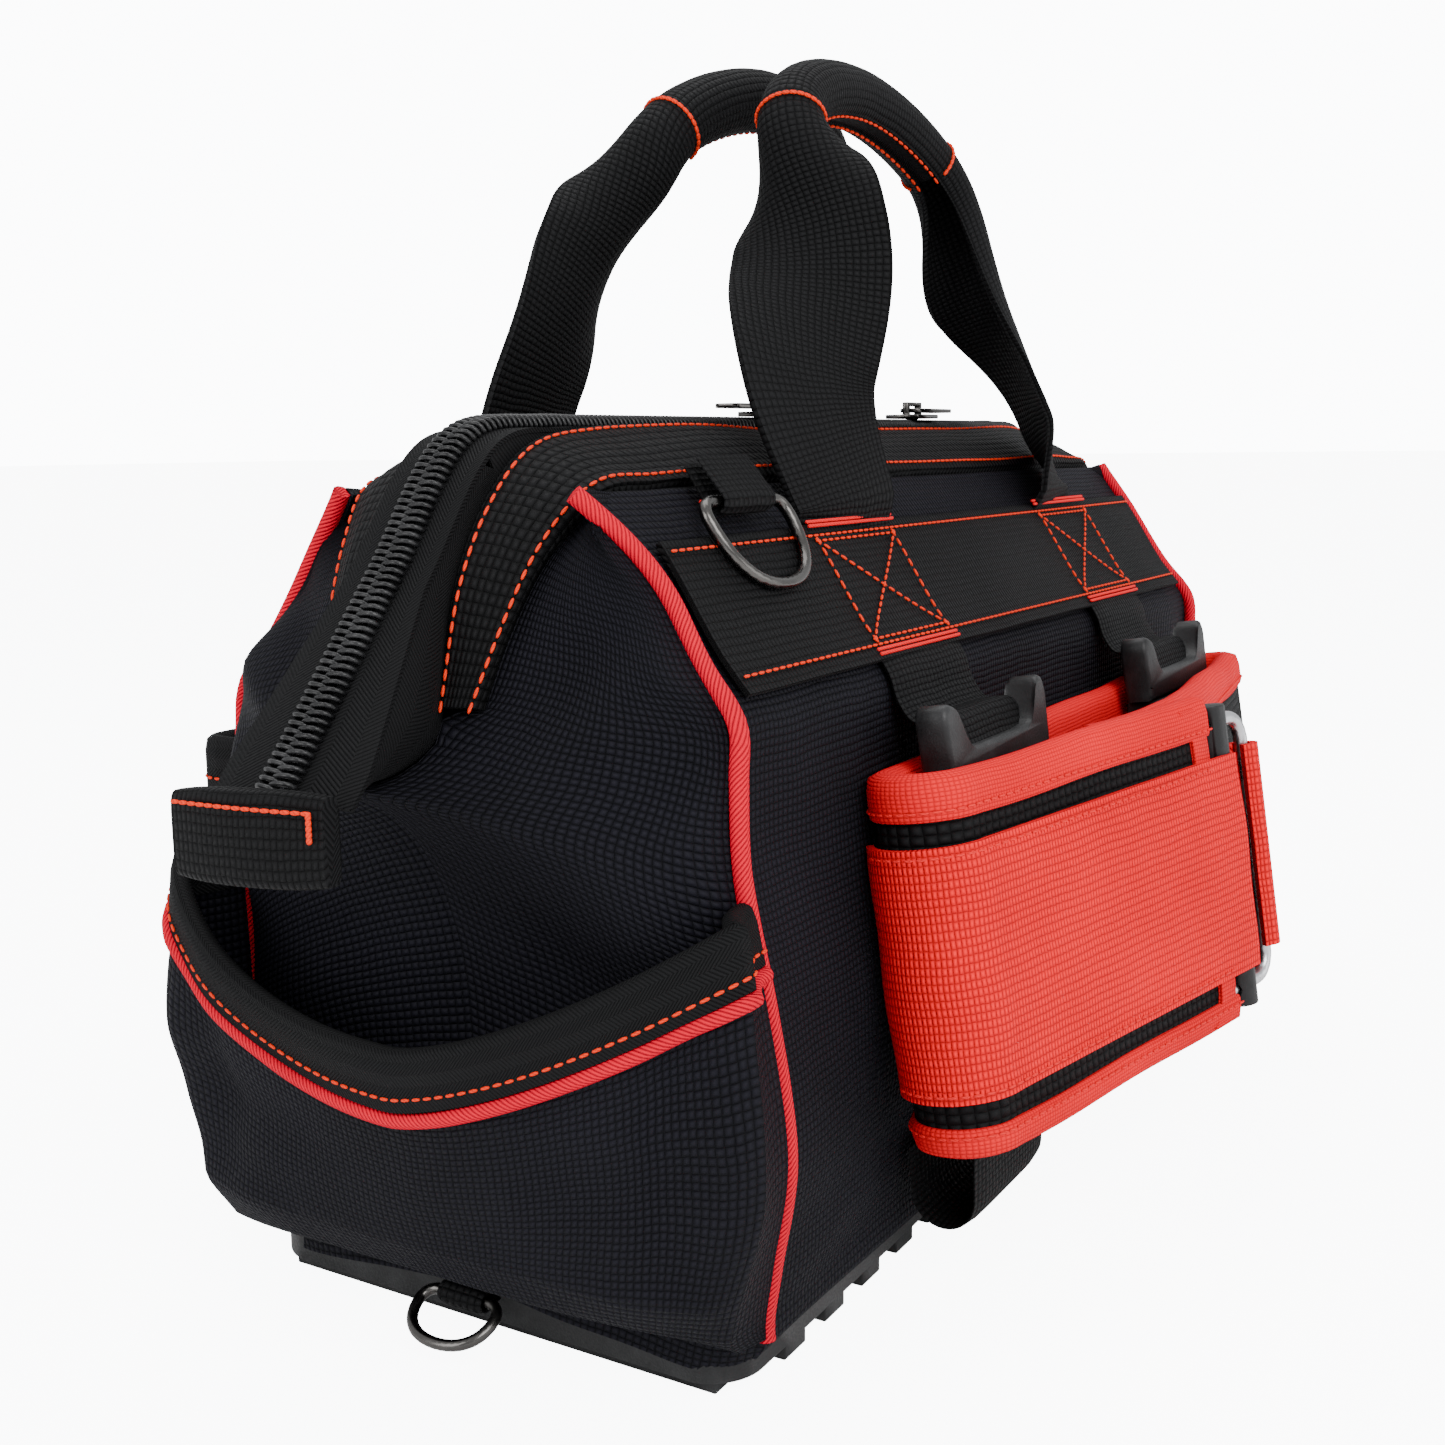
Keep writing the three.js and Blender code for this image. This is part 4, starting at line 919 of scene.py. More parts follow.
# %% End cloth
def end_cloth(end, way, side, sign):
    finish_at = finish_line(way, side, sign)
    seam = evenly(side_profile, len(finish_at))
    start = np.stack([way * seam_x(seam[:, 1], sign, way), sign * seam[:, 0], seam[:, 1]], 1)
    settle = 1 - np.clip((start[:, 2] - 205) / 8, 0, 1)
    corner = start + np.array([way * 13.0, 0, 0])
    corner = start + (corner - start) * settle[:, None]
    inward = finish_at + (start - finish_at) * np.array([0.05, 0.55, 0.3])
    peak = np.maximum(np.abs(finish_at[:, 0]) - 188, 0)
    inward[:, 0] = finish_at[:, 0] + way * (3 * settle - 0.8 * peak)
    u = np.linspace(0, 1, 30)[:, None, None]
    grid = (1 - u) ** 3 * start + 3 * u * (1 - u) ** 2 * corner + 3 * u**2 * (1 - u) * inward + u**3 * finish_at
    grid = relaxed(grid, 14)
    pull = ripple(grid, 62, 11 + way + sign, 2.3)
    pull += fold(grid, (way * 176, sign * 74, 178), (way * 198, sign * 28, 150), 8, 5.5)
    pull += fold(grid, (way * 178, sign * 72, 160), (way * 192, sign * 34, 134), 9, -4.5)
    pull += fold(grid, (way * 180, sign * 74, 142), (way * 184, sign * 15, 118), 9, 4.0)
    pull += fold(grid, (way * 178, sign * 60, 196), (way * 196, sign * 34, 168), 7, -2.5)
    pull += fold(grid, (way * 182, sign * 76, 96), (way * 182, sign * 20, 106), 12, -3.0)
    free = np.minimum(1, 3.2 * u[..., 0]) * np.minimum(1, 4 * (1 - u[..., 0])) * settle
    grid[..., 0] += way * pull * free
    piece = sheet(f"{side}_{end}_end_cloth", grid, CLOTH_THICK, basket_cloth, np.array([way, sign * 0.2, 0]))
    names = [f"{side}_{end}_gusset"] + ([f"{end}_end_panel"] if sign < 0 else [])
    with_bodies(piece, hinge_of(side), names)


for end, way in ENDS:
    for side, sign in SIDES:
        end_cloth(end, way, side, sign)
print("end cloth made")

# %% [markdown]
# ## Piping
# Red woven piping covers the four corner seams from the base to the mouth. It is a cord
# in a folded strip whose flat edge is hidden in the seam, so a round tube with a fine
# slanting ridge is enough.


# %% Piping
PIPING_OUT, PIPING_RADIUS = 1.3, 2.3


def corner_line(sign, way):
    """The line of a corner seam, where the piping is sewn in, with a slight wobble."""
    line = evenly(side_profile[side_profile[:, 1] > 12], 90)
    wobble = 0.5 * np.sin(line[:, 1] / 17.0 + way)
    x = way * (seam_x(line[:, 1], sign, way) + 0.8) + wobble
    return np.stack([x, sign * (line[:, 0] + PIPING_OUT), line[:, 1]], 1)


for side, sign in SIDES:
    for end, way in ENDS:
        piece = tube(f"{side}_{end}_piping", corner_line(sign, way), PIPING_RADIUS, red_piping)
        with_bodies(piece, hinge_of(side))
print("four runs of piping")

# %% [markdown]
# ## Collar
# The collar is a stiff sleeve of coarse webbing that hides the mouth's steel frame. Its
# outline is a flat pillow. Orange stitch rows hold its two edges.


# %% Collar
def collar(side, sign):
    outer, inner, facing = collar_edges[side]
    across = np.linspace(0, 1, 15)
    top = outer[:, None] + (inner - outer)[:, None] * across[None, :, None]
    pillow = 1 - np.abs(2 * across - 1) ** 5
    rib = 0.5 * np.cos(across * 2 * math.pi * 2.0) * pillow
    puff = ripple(top, 60, 21 + sign, 0.5)
    height = (pillow * 1.6 + rib * 0.4)[None, :] + puff * pillow[None, :] - 1.0
    face = top + facing[:, None] * height[..., None]
    depth = -6.6 + 1.4 * (1 - pillow)
    back = top + facing[:, None] * depth[None, :, None]
    rings = np.concatenate([face, back[:, ::-1]], axis=1)
    piece = swept(f"{side}_collar_sleeve", rings, mesh_webbing, 60)
    with_bodies(piece, f"{side}_mouth", [f"{side}_collar"])
    rows = []
    for place in (1.2, 12.6):
        low, high = int(place), int(place) + 1
        line = face[:, low] + (face[:, high] - face[:, low]) * (place - low)
        rows.append(line + facing * 0.25)
    stitches(f"{side}_collar_stitches", rows, f"{side}_mouth")


for side, sign in SIDES:
    collar(side, sign)
print("collars made")

# %% [markdown]
# ## Zip
# The zip runs along the whole mouth and out over each end as a stiff tongue. Each half
# is a herringbone tape with a nylon coil along its edge. A coil is one bent filament,
# and from outside it is a row of hoops, so one hoop is repeated at the coil's pitch.
# The two rows are half a pitch apart and mesh along the middle.

# %% Zip line
zip_half = [(-120, 0, 227), (-50, 0, 227), (-31, 0, 227)]
zip_half += [(-4.2, 0, 223.9), (22.2, 0, 193.9), (46.8, 0, 165), (60, 0, 150)]
zip_line = over_the_mouth(zip_half, 1, 190)
zip_ahead = directions(zip_line)
zip_up = unit(np.cross(zip_ahead, [0, 1, 0]))
zip_up *= np.sign(zip_up[95, 2])
past_end = np.clip((np.abs(zip_line[:, 0]) - HALF_LENGTH - 24) / 30, 0, 1)


def tape_edge(sign):
    """The outer edge of a zip tape, which widens and sags a little on the tongue."""
    out = (12.0 + 8 * past_end)[:, None]
    return zip_line + np.array([0, sign, 0]) * out + zip_up * (0.4 - 1.6 * past_end)[:, None]


print("zip length, mm:", round(length_of(zip_line)))


# %% Zip tapes and coils
COIL_PITCH, FILAMENT_RADIUS = 2.0, 0.64


def hoop_shape():
    """One hoop of the coil, from the tape's edge over the middle line, in millimetres."""
    over_tape = [(0.5, 4.6, 0.3), (0.3, 4.7, 2.0), (0, 3.6, 3.3)]
    over_middle = [(-0.2, 1.4, 3.5), (-0.3, -0.7, 2.8), (-0.2, -0.9, 1.4)]
    path = smooth_curve(over_tape + over_middle, 9)
    along = directions(path)
    side = unit(np.cross(along, [1, 0, 0]))
    turn = np.linspace(0, 2 * math.pi, 6, endpoint=False)
    ring = side[:, None] * np.cos(turn)[None, :, None] + np.array([1.0, 0, 0]) * np.sin(turn)[None, :, None]
    return path[:, None] + ring * FILAMENT_RADIUS


for side, sign in SIDES:
    columns = np.linspace(0, 1, 8)
    width = 1.2 + columns[None, :] * (11.2 + 8 * past_end[:, None])
    sag = -1.6 * columns[None, :] ** 2 * past_end[:, None]
    face = zip_line[:, None] + np.array([0, sign, 0]) * width[..., None] + zip_up[:, None] * (1.2 + sag)[..., None]
    tape = sheet(f"{side}_zip_tape", face, 1.2, zip_tape, np.array([0, 0, 1]))
    with_bodies(tape, f"{side}_mouth", [f"{side}_zip"])
    shape = pattern_object(f"{side}_hoop_shape", hoop_shape() * np.array([1, sign, 1]))
    start = int(sign > 0) * 0.5 * COIL_PITCH
    shifted = zip_line + zip_ahead * start + zip_up * 0.5
    coil = repeat_along(f"{side}_coil", [shifted], shape, COIL_PITCH, (MM, MM, MM), coil_plastic)
    with_bodies(coil, f"{side}_mouth")
print("coil hoops on each side:", int(length_of(zip_line) / COIL_PITCH))


# %% [markdown]
# ### Tongue sides
# Past the collar the tape stands away from it, so a strip of cloth joins the two on
# each side of the tongue and runs on below the collar's foot.


# %% Tongue sides
def downwards(line):
    """The same line, with its higher end first."""
    return line[::-1] if line[0, 2] < line[-1, 2] else line


def tongue_side(end, way, side, sign):
    under = downwards(under_collar(side, way))
    base = evenly(np.vstack([under[:-1], tongue_foot(side, sign, way)]), 50)
    edge = evenly(downwards(tape_edge(sign)[zip_line[:, 0] * way > 182]), 50)
    u = np.linspace(0, 1, 10)[None, :, None]
    web = edge[:, None] + (base - edge)[:, None] * u
    web[..., 1] += sign * 2.5 * np.sin(u[..., 0] * math.pi) * np.linspace(0, 1, 50)[:, None]
    piece = sheet(f"{side}_{end}_tongue_side", web, 1.0, zip_tape, np.array([0, sign, 0.1]))
    with_bodies(piece, f"{side}_mouth")


for end, way in ENDS:
    for side, sign in SIDES:
        tongue_side(end, way, side, sign)
print("tongue sides made")

# %% [markdown]
# ### Linings of the mouth
# Two more strips of cloth close the mouth: one joins the zip tape to the collar along
# the top, and one joins the collar to the bag's side. Both ride on the mouth.


# %% Mouth linings
LINING_ROWS, RIM_REACH = 110, 172


def joining_strip(name, one, two, side, sign):
    u = np.linspace(0, 1, 5)[None, :, None]
    one, two = evenly(one, LINING_ROWS), evenly(two, LINING_ROWS)
    web = one[:, None] + (two - one)[:, None] * u
    piece = sheet(name, web, 0.9, zip_tape, np.array([0, sign, 1.0]))
    with_bodies(piece, f"{side}_mouth")


for side, sign in SIDES:
    outer, inner, facing = collar_edges[side]
    edge = tape_edge(sign)
    under = inner - facing * UNDER_COLLAR
    edge, under = edge[np.abs(edge[:, 0]) < 183], under[np.abs(under[:, 0]) < 180]
    joining_strip(f"{side}_tape_lining", edge, under, side, sign)
    rim = np.empty((LINING_ROWS, 3))
    rim[:, 0] = np.linspace(-RIM_REACH, RIM_REACH, LINING_ROWS)
    rim[:, 1:] = side_profile[-1] * [sign, 1]
    low = (outer - facing * 3.5)[np.abs(outer[:, 0]) < RIM_REACH]
    joining_strip(f"{side}_rim_lining", rim, low, side, sign)
print("linings made")

# %% [markdown]
# ### Tabs
# A folded piece of webbing is sewn over each tip of the tongue, to pull the zip
# against. It is a flat block with rounded edges, fuller in the middle than at its
# ends. One orange stitch row crosses it, and a short tack ends the row.


# %% Zip tabs
RAISED = 5


def zip_tab(end, way):
    low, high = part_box(f"{end}_zip_tab")
    low, high = np.array(low) / MM, np.array(high) / MM
    low[2] += RAISED
    middle, half = (low + high) / 2, (high - low) / 2
    y = np.linspace(-1, 1, 22)
    loop = np.linspace(0, 2 * math.pi, 26, endpoint=False)
    rings = []
    for at in y:
        fat = 1.0 + 0.5 * (1 - at * at)
        flare = 1.0 - 0.10 * abs(at) ** 3
        bow = middle[0] + way * 0.8 * (1 - at * at)
        x = bow + half[0] * fat * np.sign(np.cos(loop)) * np.abs(np.cos(loop)) ** 0.5
        z = middle[2] + half[2] * flare * np.sign(np.sin(loop)) * np.abs(np.sin(loop)) ** 0.4
        rings.append(np.stack([x, np.full(26, middle[1] + at * half[1] * 1.05), z + 1.2 * at * way], 1))
    side = "front" if way < 0 else "rear"
    piece = swept(f"{end}_tab_webbing", rings, ribbed_webbing, 60)
    with_bodies(piece, f"{side}_mouth", [f"{end}_zip_tab"])
    x = middle[0] + way * (half[0] * 1.5 + 0.9)
    y = np.linspace(-19, 19, 12)
    row = np.stack([x - way * 0.0021 * y**2, y, np.full(12, high[2] - 3.5) + y * 0.03 * way], 1)
    tack = np.array([[x - way * 0.9, -19.5, z] for z in np.linspace(high[2] - 3.6, high[2] - 8.5, 5)])
    stitches(f"{end}_tab_stitches", [row], f"{side}_mouth", pitch=2.6, length=2.6, thick=1.0)
    stitches(f"{end}_tab_tack", [tack], f"{side}_mouth", pitch=1.2, length=1.6, thick=1.3)


for end, way in ENDS:
    zip_tab(end, way)
print("tabs made")

# %% [markdown]
# ## Pockets
# An end pocket is a bellied panel sewn to the corner seams, with a hem that dips in
# the middle. The rear pocket is a flat pouch. Both hems are bound with black webbing,
# with a line of red piping under it and an orange stitch row on it. One helper dresses
# any hem, given the pocket's grid of points with its hem in the last column.


# %% Hem dressing
def hem_frame(grid, outward):
    """Points, downward direction and outward normal along the hem."""
    edge = grid[:, -1]
    down = unit(grid[:, -4] - edge)
    normal = surface_normals(grid, outward)[:, -2]
    return edge, down, unit(normal - (normal * down).sum(-1, keepdims=True) * down)


def below_hem(grid, outward, distance, out):
    """The line that runs a distance below the hem, lifted off the cloth."""
    normals = surface_normals(grid, outward)
    lines = []
    for row, normal in zip(grid[:, ::-1], normals[:, ::-1]):
        travelled = np.concatenate([[0], np.cumsum(np.linalg.norm(np.diff(row, axis=0), axis=1))])
        point = [np.interp(distance, travelled, row[:, k]) for k in range(3)]
        lift = unit([np.interp(distance, travelled, normal[:, k]) for k in range(3)])
        lines.append(np.array(point) + lift * out)
    return np.array(lines)


def dress_hem(name, grid, thickness, body, outward, height=13.0):
    edge, down, normal = hem_frame(grid, outward)
    section = [(1.5, height), (1.7, 2.5), (1.1, -0.8), (-0.4, -2.0), (-thickness + 0.4, -2.0)]
    section += [(-thickness - 1.1, -0.8), (-thickness - 1.5, 2.5), (-thickness - 1.4, height)]
    section += [(-thickness - 0.2, height + 0.2), (0.2, height + 0.2)]
    rings = []
    for point, low, out in zip(edge, down, normal):
        rings.append([point + out * a + low * b for a, b in section])
    binding = swept(f"{name}_binding", rings, black_tape, 65)
    with_bodies(binding, body)
    cord = below_hem(grid, outward, height + 2.2, 1.0)
    with_bodies(tube(f"{name}_piping", cord, 1.9, red_piping), body)
    stitches(f"{name}_stitches", [below_hem(grid, outward, height - 3.2, 1.75)], body, pitch=3.4, length=2.5)


# %% End pockets
POCKET_THICK = 2.0
POCKET_FOOT = 15


def end_pocket(end, way):
    turn = np.linspace(-math.pi / 2, math.pi / 2, 90)
    rise = np.linspace(0, 1, 40)
    across = np.sin(turn)
    hem = 83 + 38 * np.abs(across) ** np.where(across * way > 0, 1.35, 2.6)
    grid = np.empty((90, 40, 3))
    for i, angle in enumerate(turn):
        height = POCKET_FOOT + (hem[i] - POCKET_FOOT) * rise
        side_gain = 1 + (0.35 if across[i] * way < 0 else 0.0)
        flare = 9 * side_gain * np.sin(np.clip((height - 10) / 75, 0, 1) * math.pi / 2)
        half = depth_at(height) + flare
        tuck = np.clip((height - POCKET_FOOT) / 16, 0, 1) ** 0.5
        reach = (17 + 12 * np.clip((height - 12) / 60, 0, 1)) * (0.40 + 0.60 * tuck)
        out = reach * np.abs(math.cos(angle)) ** 0.62 * np.clip((height - POCKET_FOOT) / 5, 0, 1) ** 0.5
        wrap = np.clip((abs(across[i]) - 0.985) / 0.015, 0, 1) ** 0.7
        grid[i, :, 0] = way * (HALF_LENGTH + 0.5 + out - wrap * (HALF_LENGTH - 2.0 - seam_x(height)))
        grid[i, :, 1] = across[i] * (half * (1 - wrap) + (depth_at(height) + 2.4) * wrap)
        grid[i, :, 2] = height
    pull = ripple(grid, 64, 31 + way, 2.2)
    for side in (-1, 1):
        pull += fold(grid, (way * 200, side * 95, 100), (way * 198, side * 80, 22), 7, 3.2)
        pull += fold(grid, (way * 204, side * 78, 100), (way * 202, side * 68, 18), 8, -3.0)
        pull += fold(grid, (way * 196, side * 92, 60), (way * 208, side * 30, 52), 8, -1.8)
        pull += fold(grid, (way * 190, side * 88, 34), (way * 206, side * 36, 24), 7, 2.4)
    pull += fold(grid, (way * 208, -30, 60), (way * 204, 36, 22), 11, 2.0)
    free = np.minimum(1, 9 * (1 - np.abs(across)))[:, None] * np.minimum(1, 3 * (1 - rise) + 0.25)[None, :]
    outward = unit(np.stack([np.full(90, way * 1.0), across * 1.4, np.zeros(90)], 1))[:, None]
    grid += outward * (pull * free)[..., None]
    piece = sheet(f"{end}_pocket_cloth", grid, POCKET_THICK, basket_cloth, outward)
    with_bodies(piece, "bag_body", [f"{end}_pocket"])
    dress_hem(f"{end}_pocket", grid, POCKET_THICK, "bag_body", outward)


for end, way in ENDS:
    end_pocket(end, way)


# %% Rear pocket
REAR_FOOT, REAR_HEM, REAR_CLOTH_Y = 20, 142, 80


def rear_pocket():
    left = [[(-164, 84), (-164, 95)], arc((-158, 102.3), 6, 180, 90, 7)]
    right = [arc((158, 102.3), 6, 90, 0, 7), [(164, 95), (164, 84)]]
    edge = evenly(np.vstack([*left, [(-80, 109.5), (0, 110.3), (80, 109.5)], *right]), 110)
    heights = np.linspace(REAR_FOOT, REAR_HEM, 34)
    grid = np.empty((110, 34, 3))
    grid[..., 0] = edge[:, None, 0]
    tuck = np.clip((heights - REAR_FOOT) / 18, 0, 1) ** 0.5
    stand_off = np.minimum(1, 12 * tuck) * (0.35 + 0.65 * tuck)
    grid[..., 1] = REAR_CLOTH_Y + (edge[:, None, 1] - REAR_CLOTH_Y) * stand_off[None, :]
    grid[..., 2] = heights[None, :]
    pull = ripple(grid, 80, 41, 1.9)
    pull += fold(grid, (-150, 108, 40), (-60, 108, 60), 10, -2.0)
    pull += fold(grid, (150, 108, 44), (70, 108, 90), 12, 1.8)
    pull += fold(grid, (-60, 108, 90), (30, 108, 50), 14, 1.6)
    below_the_hem = np.minimum(1, 4 * (1 - np.linspace(0, 1, 34)) + 0.3)[None, :]
    grid[..., 1] += pull * (np.clip((grid[..., 1] - 86) / 18, 0, 1) * below_the_hem)
    outward = np.zeros_like(grid)
    outward[..., 1] = 1.0
    outward[:8, :, 0] = -2.0
    outward[-8:, :, 0] = 2.0
    piece = sheet("rear_pocket_cloth", grid, POCKET_THICK, basket_cloth, outward)
    with_bodies(piece, "bag_body", ["rear_pocket"])
    dress_hem("rear_pocket", grid, POCKET_THICK, "bag_body", outward)


rear_pocket()
print("pockets made")

# %% [markdown]
# ## Bands
# A wide band of webbing crosses each side under the mouth. It is stitched along both
# edges, and boxes of stitching with a cross hold the handles' ends, with a red bar of
# dense thread above and below each box.

# %% Bands and box stitches
ANCHORS = (-74, 91)
BAND_LOW, BAND_HIGH = 166.0, 200.0
UPPER = side_profile[side_profile[:, 1] > 150]


def on_side(x, height, sign, out):
    """A point on the outer face of a side, lifted off it."""
    height = np.asarray(height, float)
    slope = unit(directions(UPPER))
    lean_y = np.interp(height, UPPER[:, 1], slope[:, 1])
    lean_z = -np.interp(height, UPPER[:, 1], slope[:, 0])
    normal = unit(np.stack([lean_y, lean_z], -1))
    y = np.interp(height, UPPER[:, 1], UPPER[:, 0])
    x = np.broadcast_to(np.asarray(x, float), height.shape)
    return np.stack([x, sign * (y + normal[..., 0] * out), height + normal[..., 1] * out], -1)


def segment(sign, start, end, out, count=24):
    """A straight row on a side, from one (x, height) to another."""
    t = np.linspace(0, 1, count)
    return on_side(start[0] + (end[0] - start[0]) * t, start[1] + (end[1] - start[1]) * t, sign, out)


THICK_TACK = {"pitch": 1.5, "length": 1.7, "thick": 1.1, "slot": "red_webbing"}
HALF_BOX = 23


def band(side, sign):
    x = np.linspace(-SEAM_X + 1.5, SEAM_X - 1.5, 110)
    heights = np.linspace(BAND_LOW, BAND_HIGH, 9)
    wave = 0.5 * np.sin(x / 19.0) + 0.35 * np.sin(x / 7.3 + 1)
    out = 3.1 + 0.35 * wave[:, None] * np.ones(9)[None, :]
    grid = on_side(x[:, None] + 0 * heights, heights[None, :] + 0 * x[:, None], sign, 0)
    grid = grid + surface_normals(grid, np.array([0, sign, 0.5])) * out[..., None]
    piece = sheet(f"{side}_band_webbing", grid, 1.4, ribbed_webbing, np.array([0, sign, 0.5]))
    with_bodies(piece, f"{side}_mouth", [f"{side}_band"])
    end_x = SEAM_X - 4
    rows = [segment(sign, (-end_x, z), (end_x, z), 3.6, 200) for z in (BAND_LOW + 3.2, BAND_HIGH - 2.6)]
    bars = []
    for anchor in ANCHORS:
        middle = -anchor * sign
        left, right = middle - HALF_BOX, middle + HALF_BOX
        low, high = BAND_LOW + 4.5, BAND_HIGH - 4
        corners = [(left, low), (right, low), (right, high), (left, high)]
        rows += [segment(sign, corners[k], corners[(k + 1) % 4], 3.7) for k in range(4)]
        rows += [segment(sign, (left, low), (right, high), 3.8), segment(sign, (right, low), (left, high), 3.7)]
        for z, lift in ((BAND_LOW + 1.2, 0.0), (BAND_HIGH - 0.8, 1.3)):
            bars += [segment(sign, (left - 2, z + step), (right + 2, z + step), 3.5 + lift) for step in (0, 1.0)]
    stitches(f"{side}_band_stitches", rows, f"{side}_mouth", pitch=3.3, length=2.5, thick=0.8)
    stitches(f"{side}_band_bars", bars, f"{side}_mouth", red_thread, **THICK_TACK)


for side, sign in SIDES:
    band(side, sign)
print("bands made")

# %% [markdown]
# ## Handles
# Each handle is one length of wide webbing. It lies flat against the band, stands up,
# and twists a quarter turn while it curls round into the grip, where its two edges
# meet underneath. So the outline at each point is an arc as long as the webbing is
# wide: nearly flat at the foot, and almost a full circle in the grip.
#
# No two legs of a real handle twist alike. A table gives each leg its own rule: the
# shares of the quarter turn, with the stretch over which each is made, and the
# stretch over which the webbing folds. Stretches are measured from the leg's foot, as
# parts of the whole handle.

# %% Handle line
HINGE_Y, HINGE_Z, GRIP_Y, GRIP_Z = 54.0, 200.0, 13.0, 330.0
ROUTE = [(-74, 203), (-76, 241), (-51, 283), (-41, 319), (8, 330), (57, 313), (73, 281), (89, 241), (91, 203)]


def handle_line(sign):
    """The middle of the webbing: a foot on the band, the standing part, and the other foot."""
    points = []
    for x, z in ROUTE:
        lean = HINGE_Y + (GRIP_Y - HINGE_Y) * (z - HINGE_Z) / (GRIP_Z - HINGE_Z)
        points.append((-sign * x, sign * lean, z))
    line = smooth_curve(points, 150)
    foot = on_side(np.full(7, line[0, 0]), np.linspace(178, 199, 7), sign, 1.0)
    far_foot = on_side(np.full(7, line[-1, 0]), np.linspace(199, 178, 7), sign, 1.0)
    return evenly(np.vstack([foot, line[2:-2], far_foot]), 190)


def handle_directions(line, sign):
    """Ahead along the handle, out from the bag, and away from the handle's middle."""
    ahead = directions(line)
    lean_way = unit([0, sign * (GRIP_Y - HINGE_Y), GRIP_Z - HINGE_Z])
    out = unit(np.cross([1, 0, 0], lean_way)) * -sign
    out = np.broadcast_to(out * np.sign(out[1] * sign), ahead.shape)
    out = unit(out - (out * ahead).sum(-1, keepdims=True) * ahead)
    centre = np.array([line[:, 0].mean(), 0, 250.0])
    upward = unit(np.cross(ahead, out))
    upward *= np.sign((upward * (line - centre)).sum(-1))[:, None]
    return ahead, out, upward


print("handle length, mm:", round(length_of(handle_line(-1))))


# %% Twist and fold of each leg
LEG_RULES = {
    "front": (
        {"turn": [(0.11, 0.0, 0.10), (0.13, 0.08, 0.20), (0.76, 0.16, 0.34)], "fold": (0.275, 0.385), "way": 1},
        {"turn": [(0.36, 0.04, 0.14), (0.64, 0.14, 0.38)], "fold": (0.12, 0.38), "way": 1},
    ),
    "rear": (
        {"turn": [(0.10, 0.02, 0.2), (0.90, 0.12, 0.38)], "fold": (0.17, 0.38), "way": 1},
        {"turn": [(1.04, 0.27, 0.39), (-0.04, 0.0, 0.07)], "fold": (0.17, 0.38), "way": -1},
    ),
}


def ease(value, low, high):
    """Rises smoothly from 0 to 1 while the value goes from low to high."""
    t = np.clip((value - low) / (high - low), 0, 1)
    return t * t * (3 - 2 * t)


def along_legs(side, from_foot):
    """At each point, the twist in radians, the folding from 0 to 1, and the way it turns."""
    twist, folding, way = (np.empty(len(from_foot)) for _ in range(3))
    middle = len(from_foot) // 2
    for leg, rule in zip((slice(None, middle), slice(middle, None)), LEG_RULES[side]):
        at = from_foot[leg]
        twist[leg] = sum(share * ease(at, *stretch) for share, *stretch in rule["turn"]) * math.pi / 2
        folding[leg] = ease(at, *rule["fold"])
        way[leg] = rule["way"]
    return twist, folding, way


# %% Handle webbing
HANDLE_WIDTH, HALF_THICK = 46.0, 1.1
FLAT_CURL, FULL_CURL = 0.15, 5.25
GRIP_RADIUS = 9.0


def handle(side, sign):
    line = handle_line(sign)
    ahead, out, upward = handle_directions(line, sign)
    from_foot = 0.5 - np.abs(np.linspace(0, 1, len(line)) - 0.5)
    twist, folding, way = along_legs(side, from_foot)
    face = out * (way * np.cos(twist))[:, None] + upward * np.sin(twist)[:, None]
    side_way = unit(np.cross(ahead, face))
    curl = FLAT_CURL + folding**1.15 * FULL_CURL
    radius = HANDLE_WIDTH / curl
    angles = np.linspace(-0.5, 0.5, 27)[None, :] * curl[:, None]
    drop = np.minimum(radius, GRIP_RADIUS) * ease(from_foot, 0.24, 0.39)

    def arc_points(extra):
        r = (radius + extra)[:, None]
        sideways = r * np.sin(angles)
        up = r * np.cos(angles) - radius[:, None] + drop[:, None]
        return line[:, None] + side_way[:, None] * sideways[..., None] + face[:, None] * up[..., None]

    rings = np.concatenate([arc_points(HALF_THICK), arc_points(-HALF_THICK)[:, ::-1]], axis=1)
    piece = swept(f"{side}_handle_webbing", rings, ribbed_webbing, 60)
    start, end = (0, sign * 56.0, 197.0), (0, sign * 52.0, 207.0)
    with_bodies(piece, (f"{side}_mouth", f"{side}_handle", start, end), [f"{side}_handle"])
    return line, face, side_way, radius, drop, from_foot


handle_shapes = {side: handle(side, sign) for side, sign in SIDES}
print("handle webbing made")

# %% [markdown]
# ### Grips
# Inside the curl is a round foam core, which shows only as fullness. Orange thread
# closes the curl underneath, and an orange row crosses the webbing where each end of
# the curl starts.


# %% Grip core and its stitching
GRIP_START = 0.372


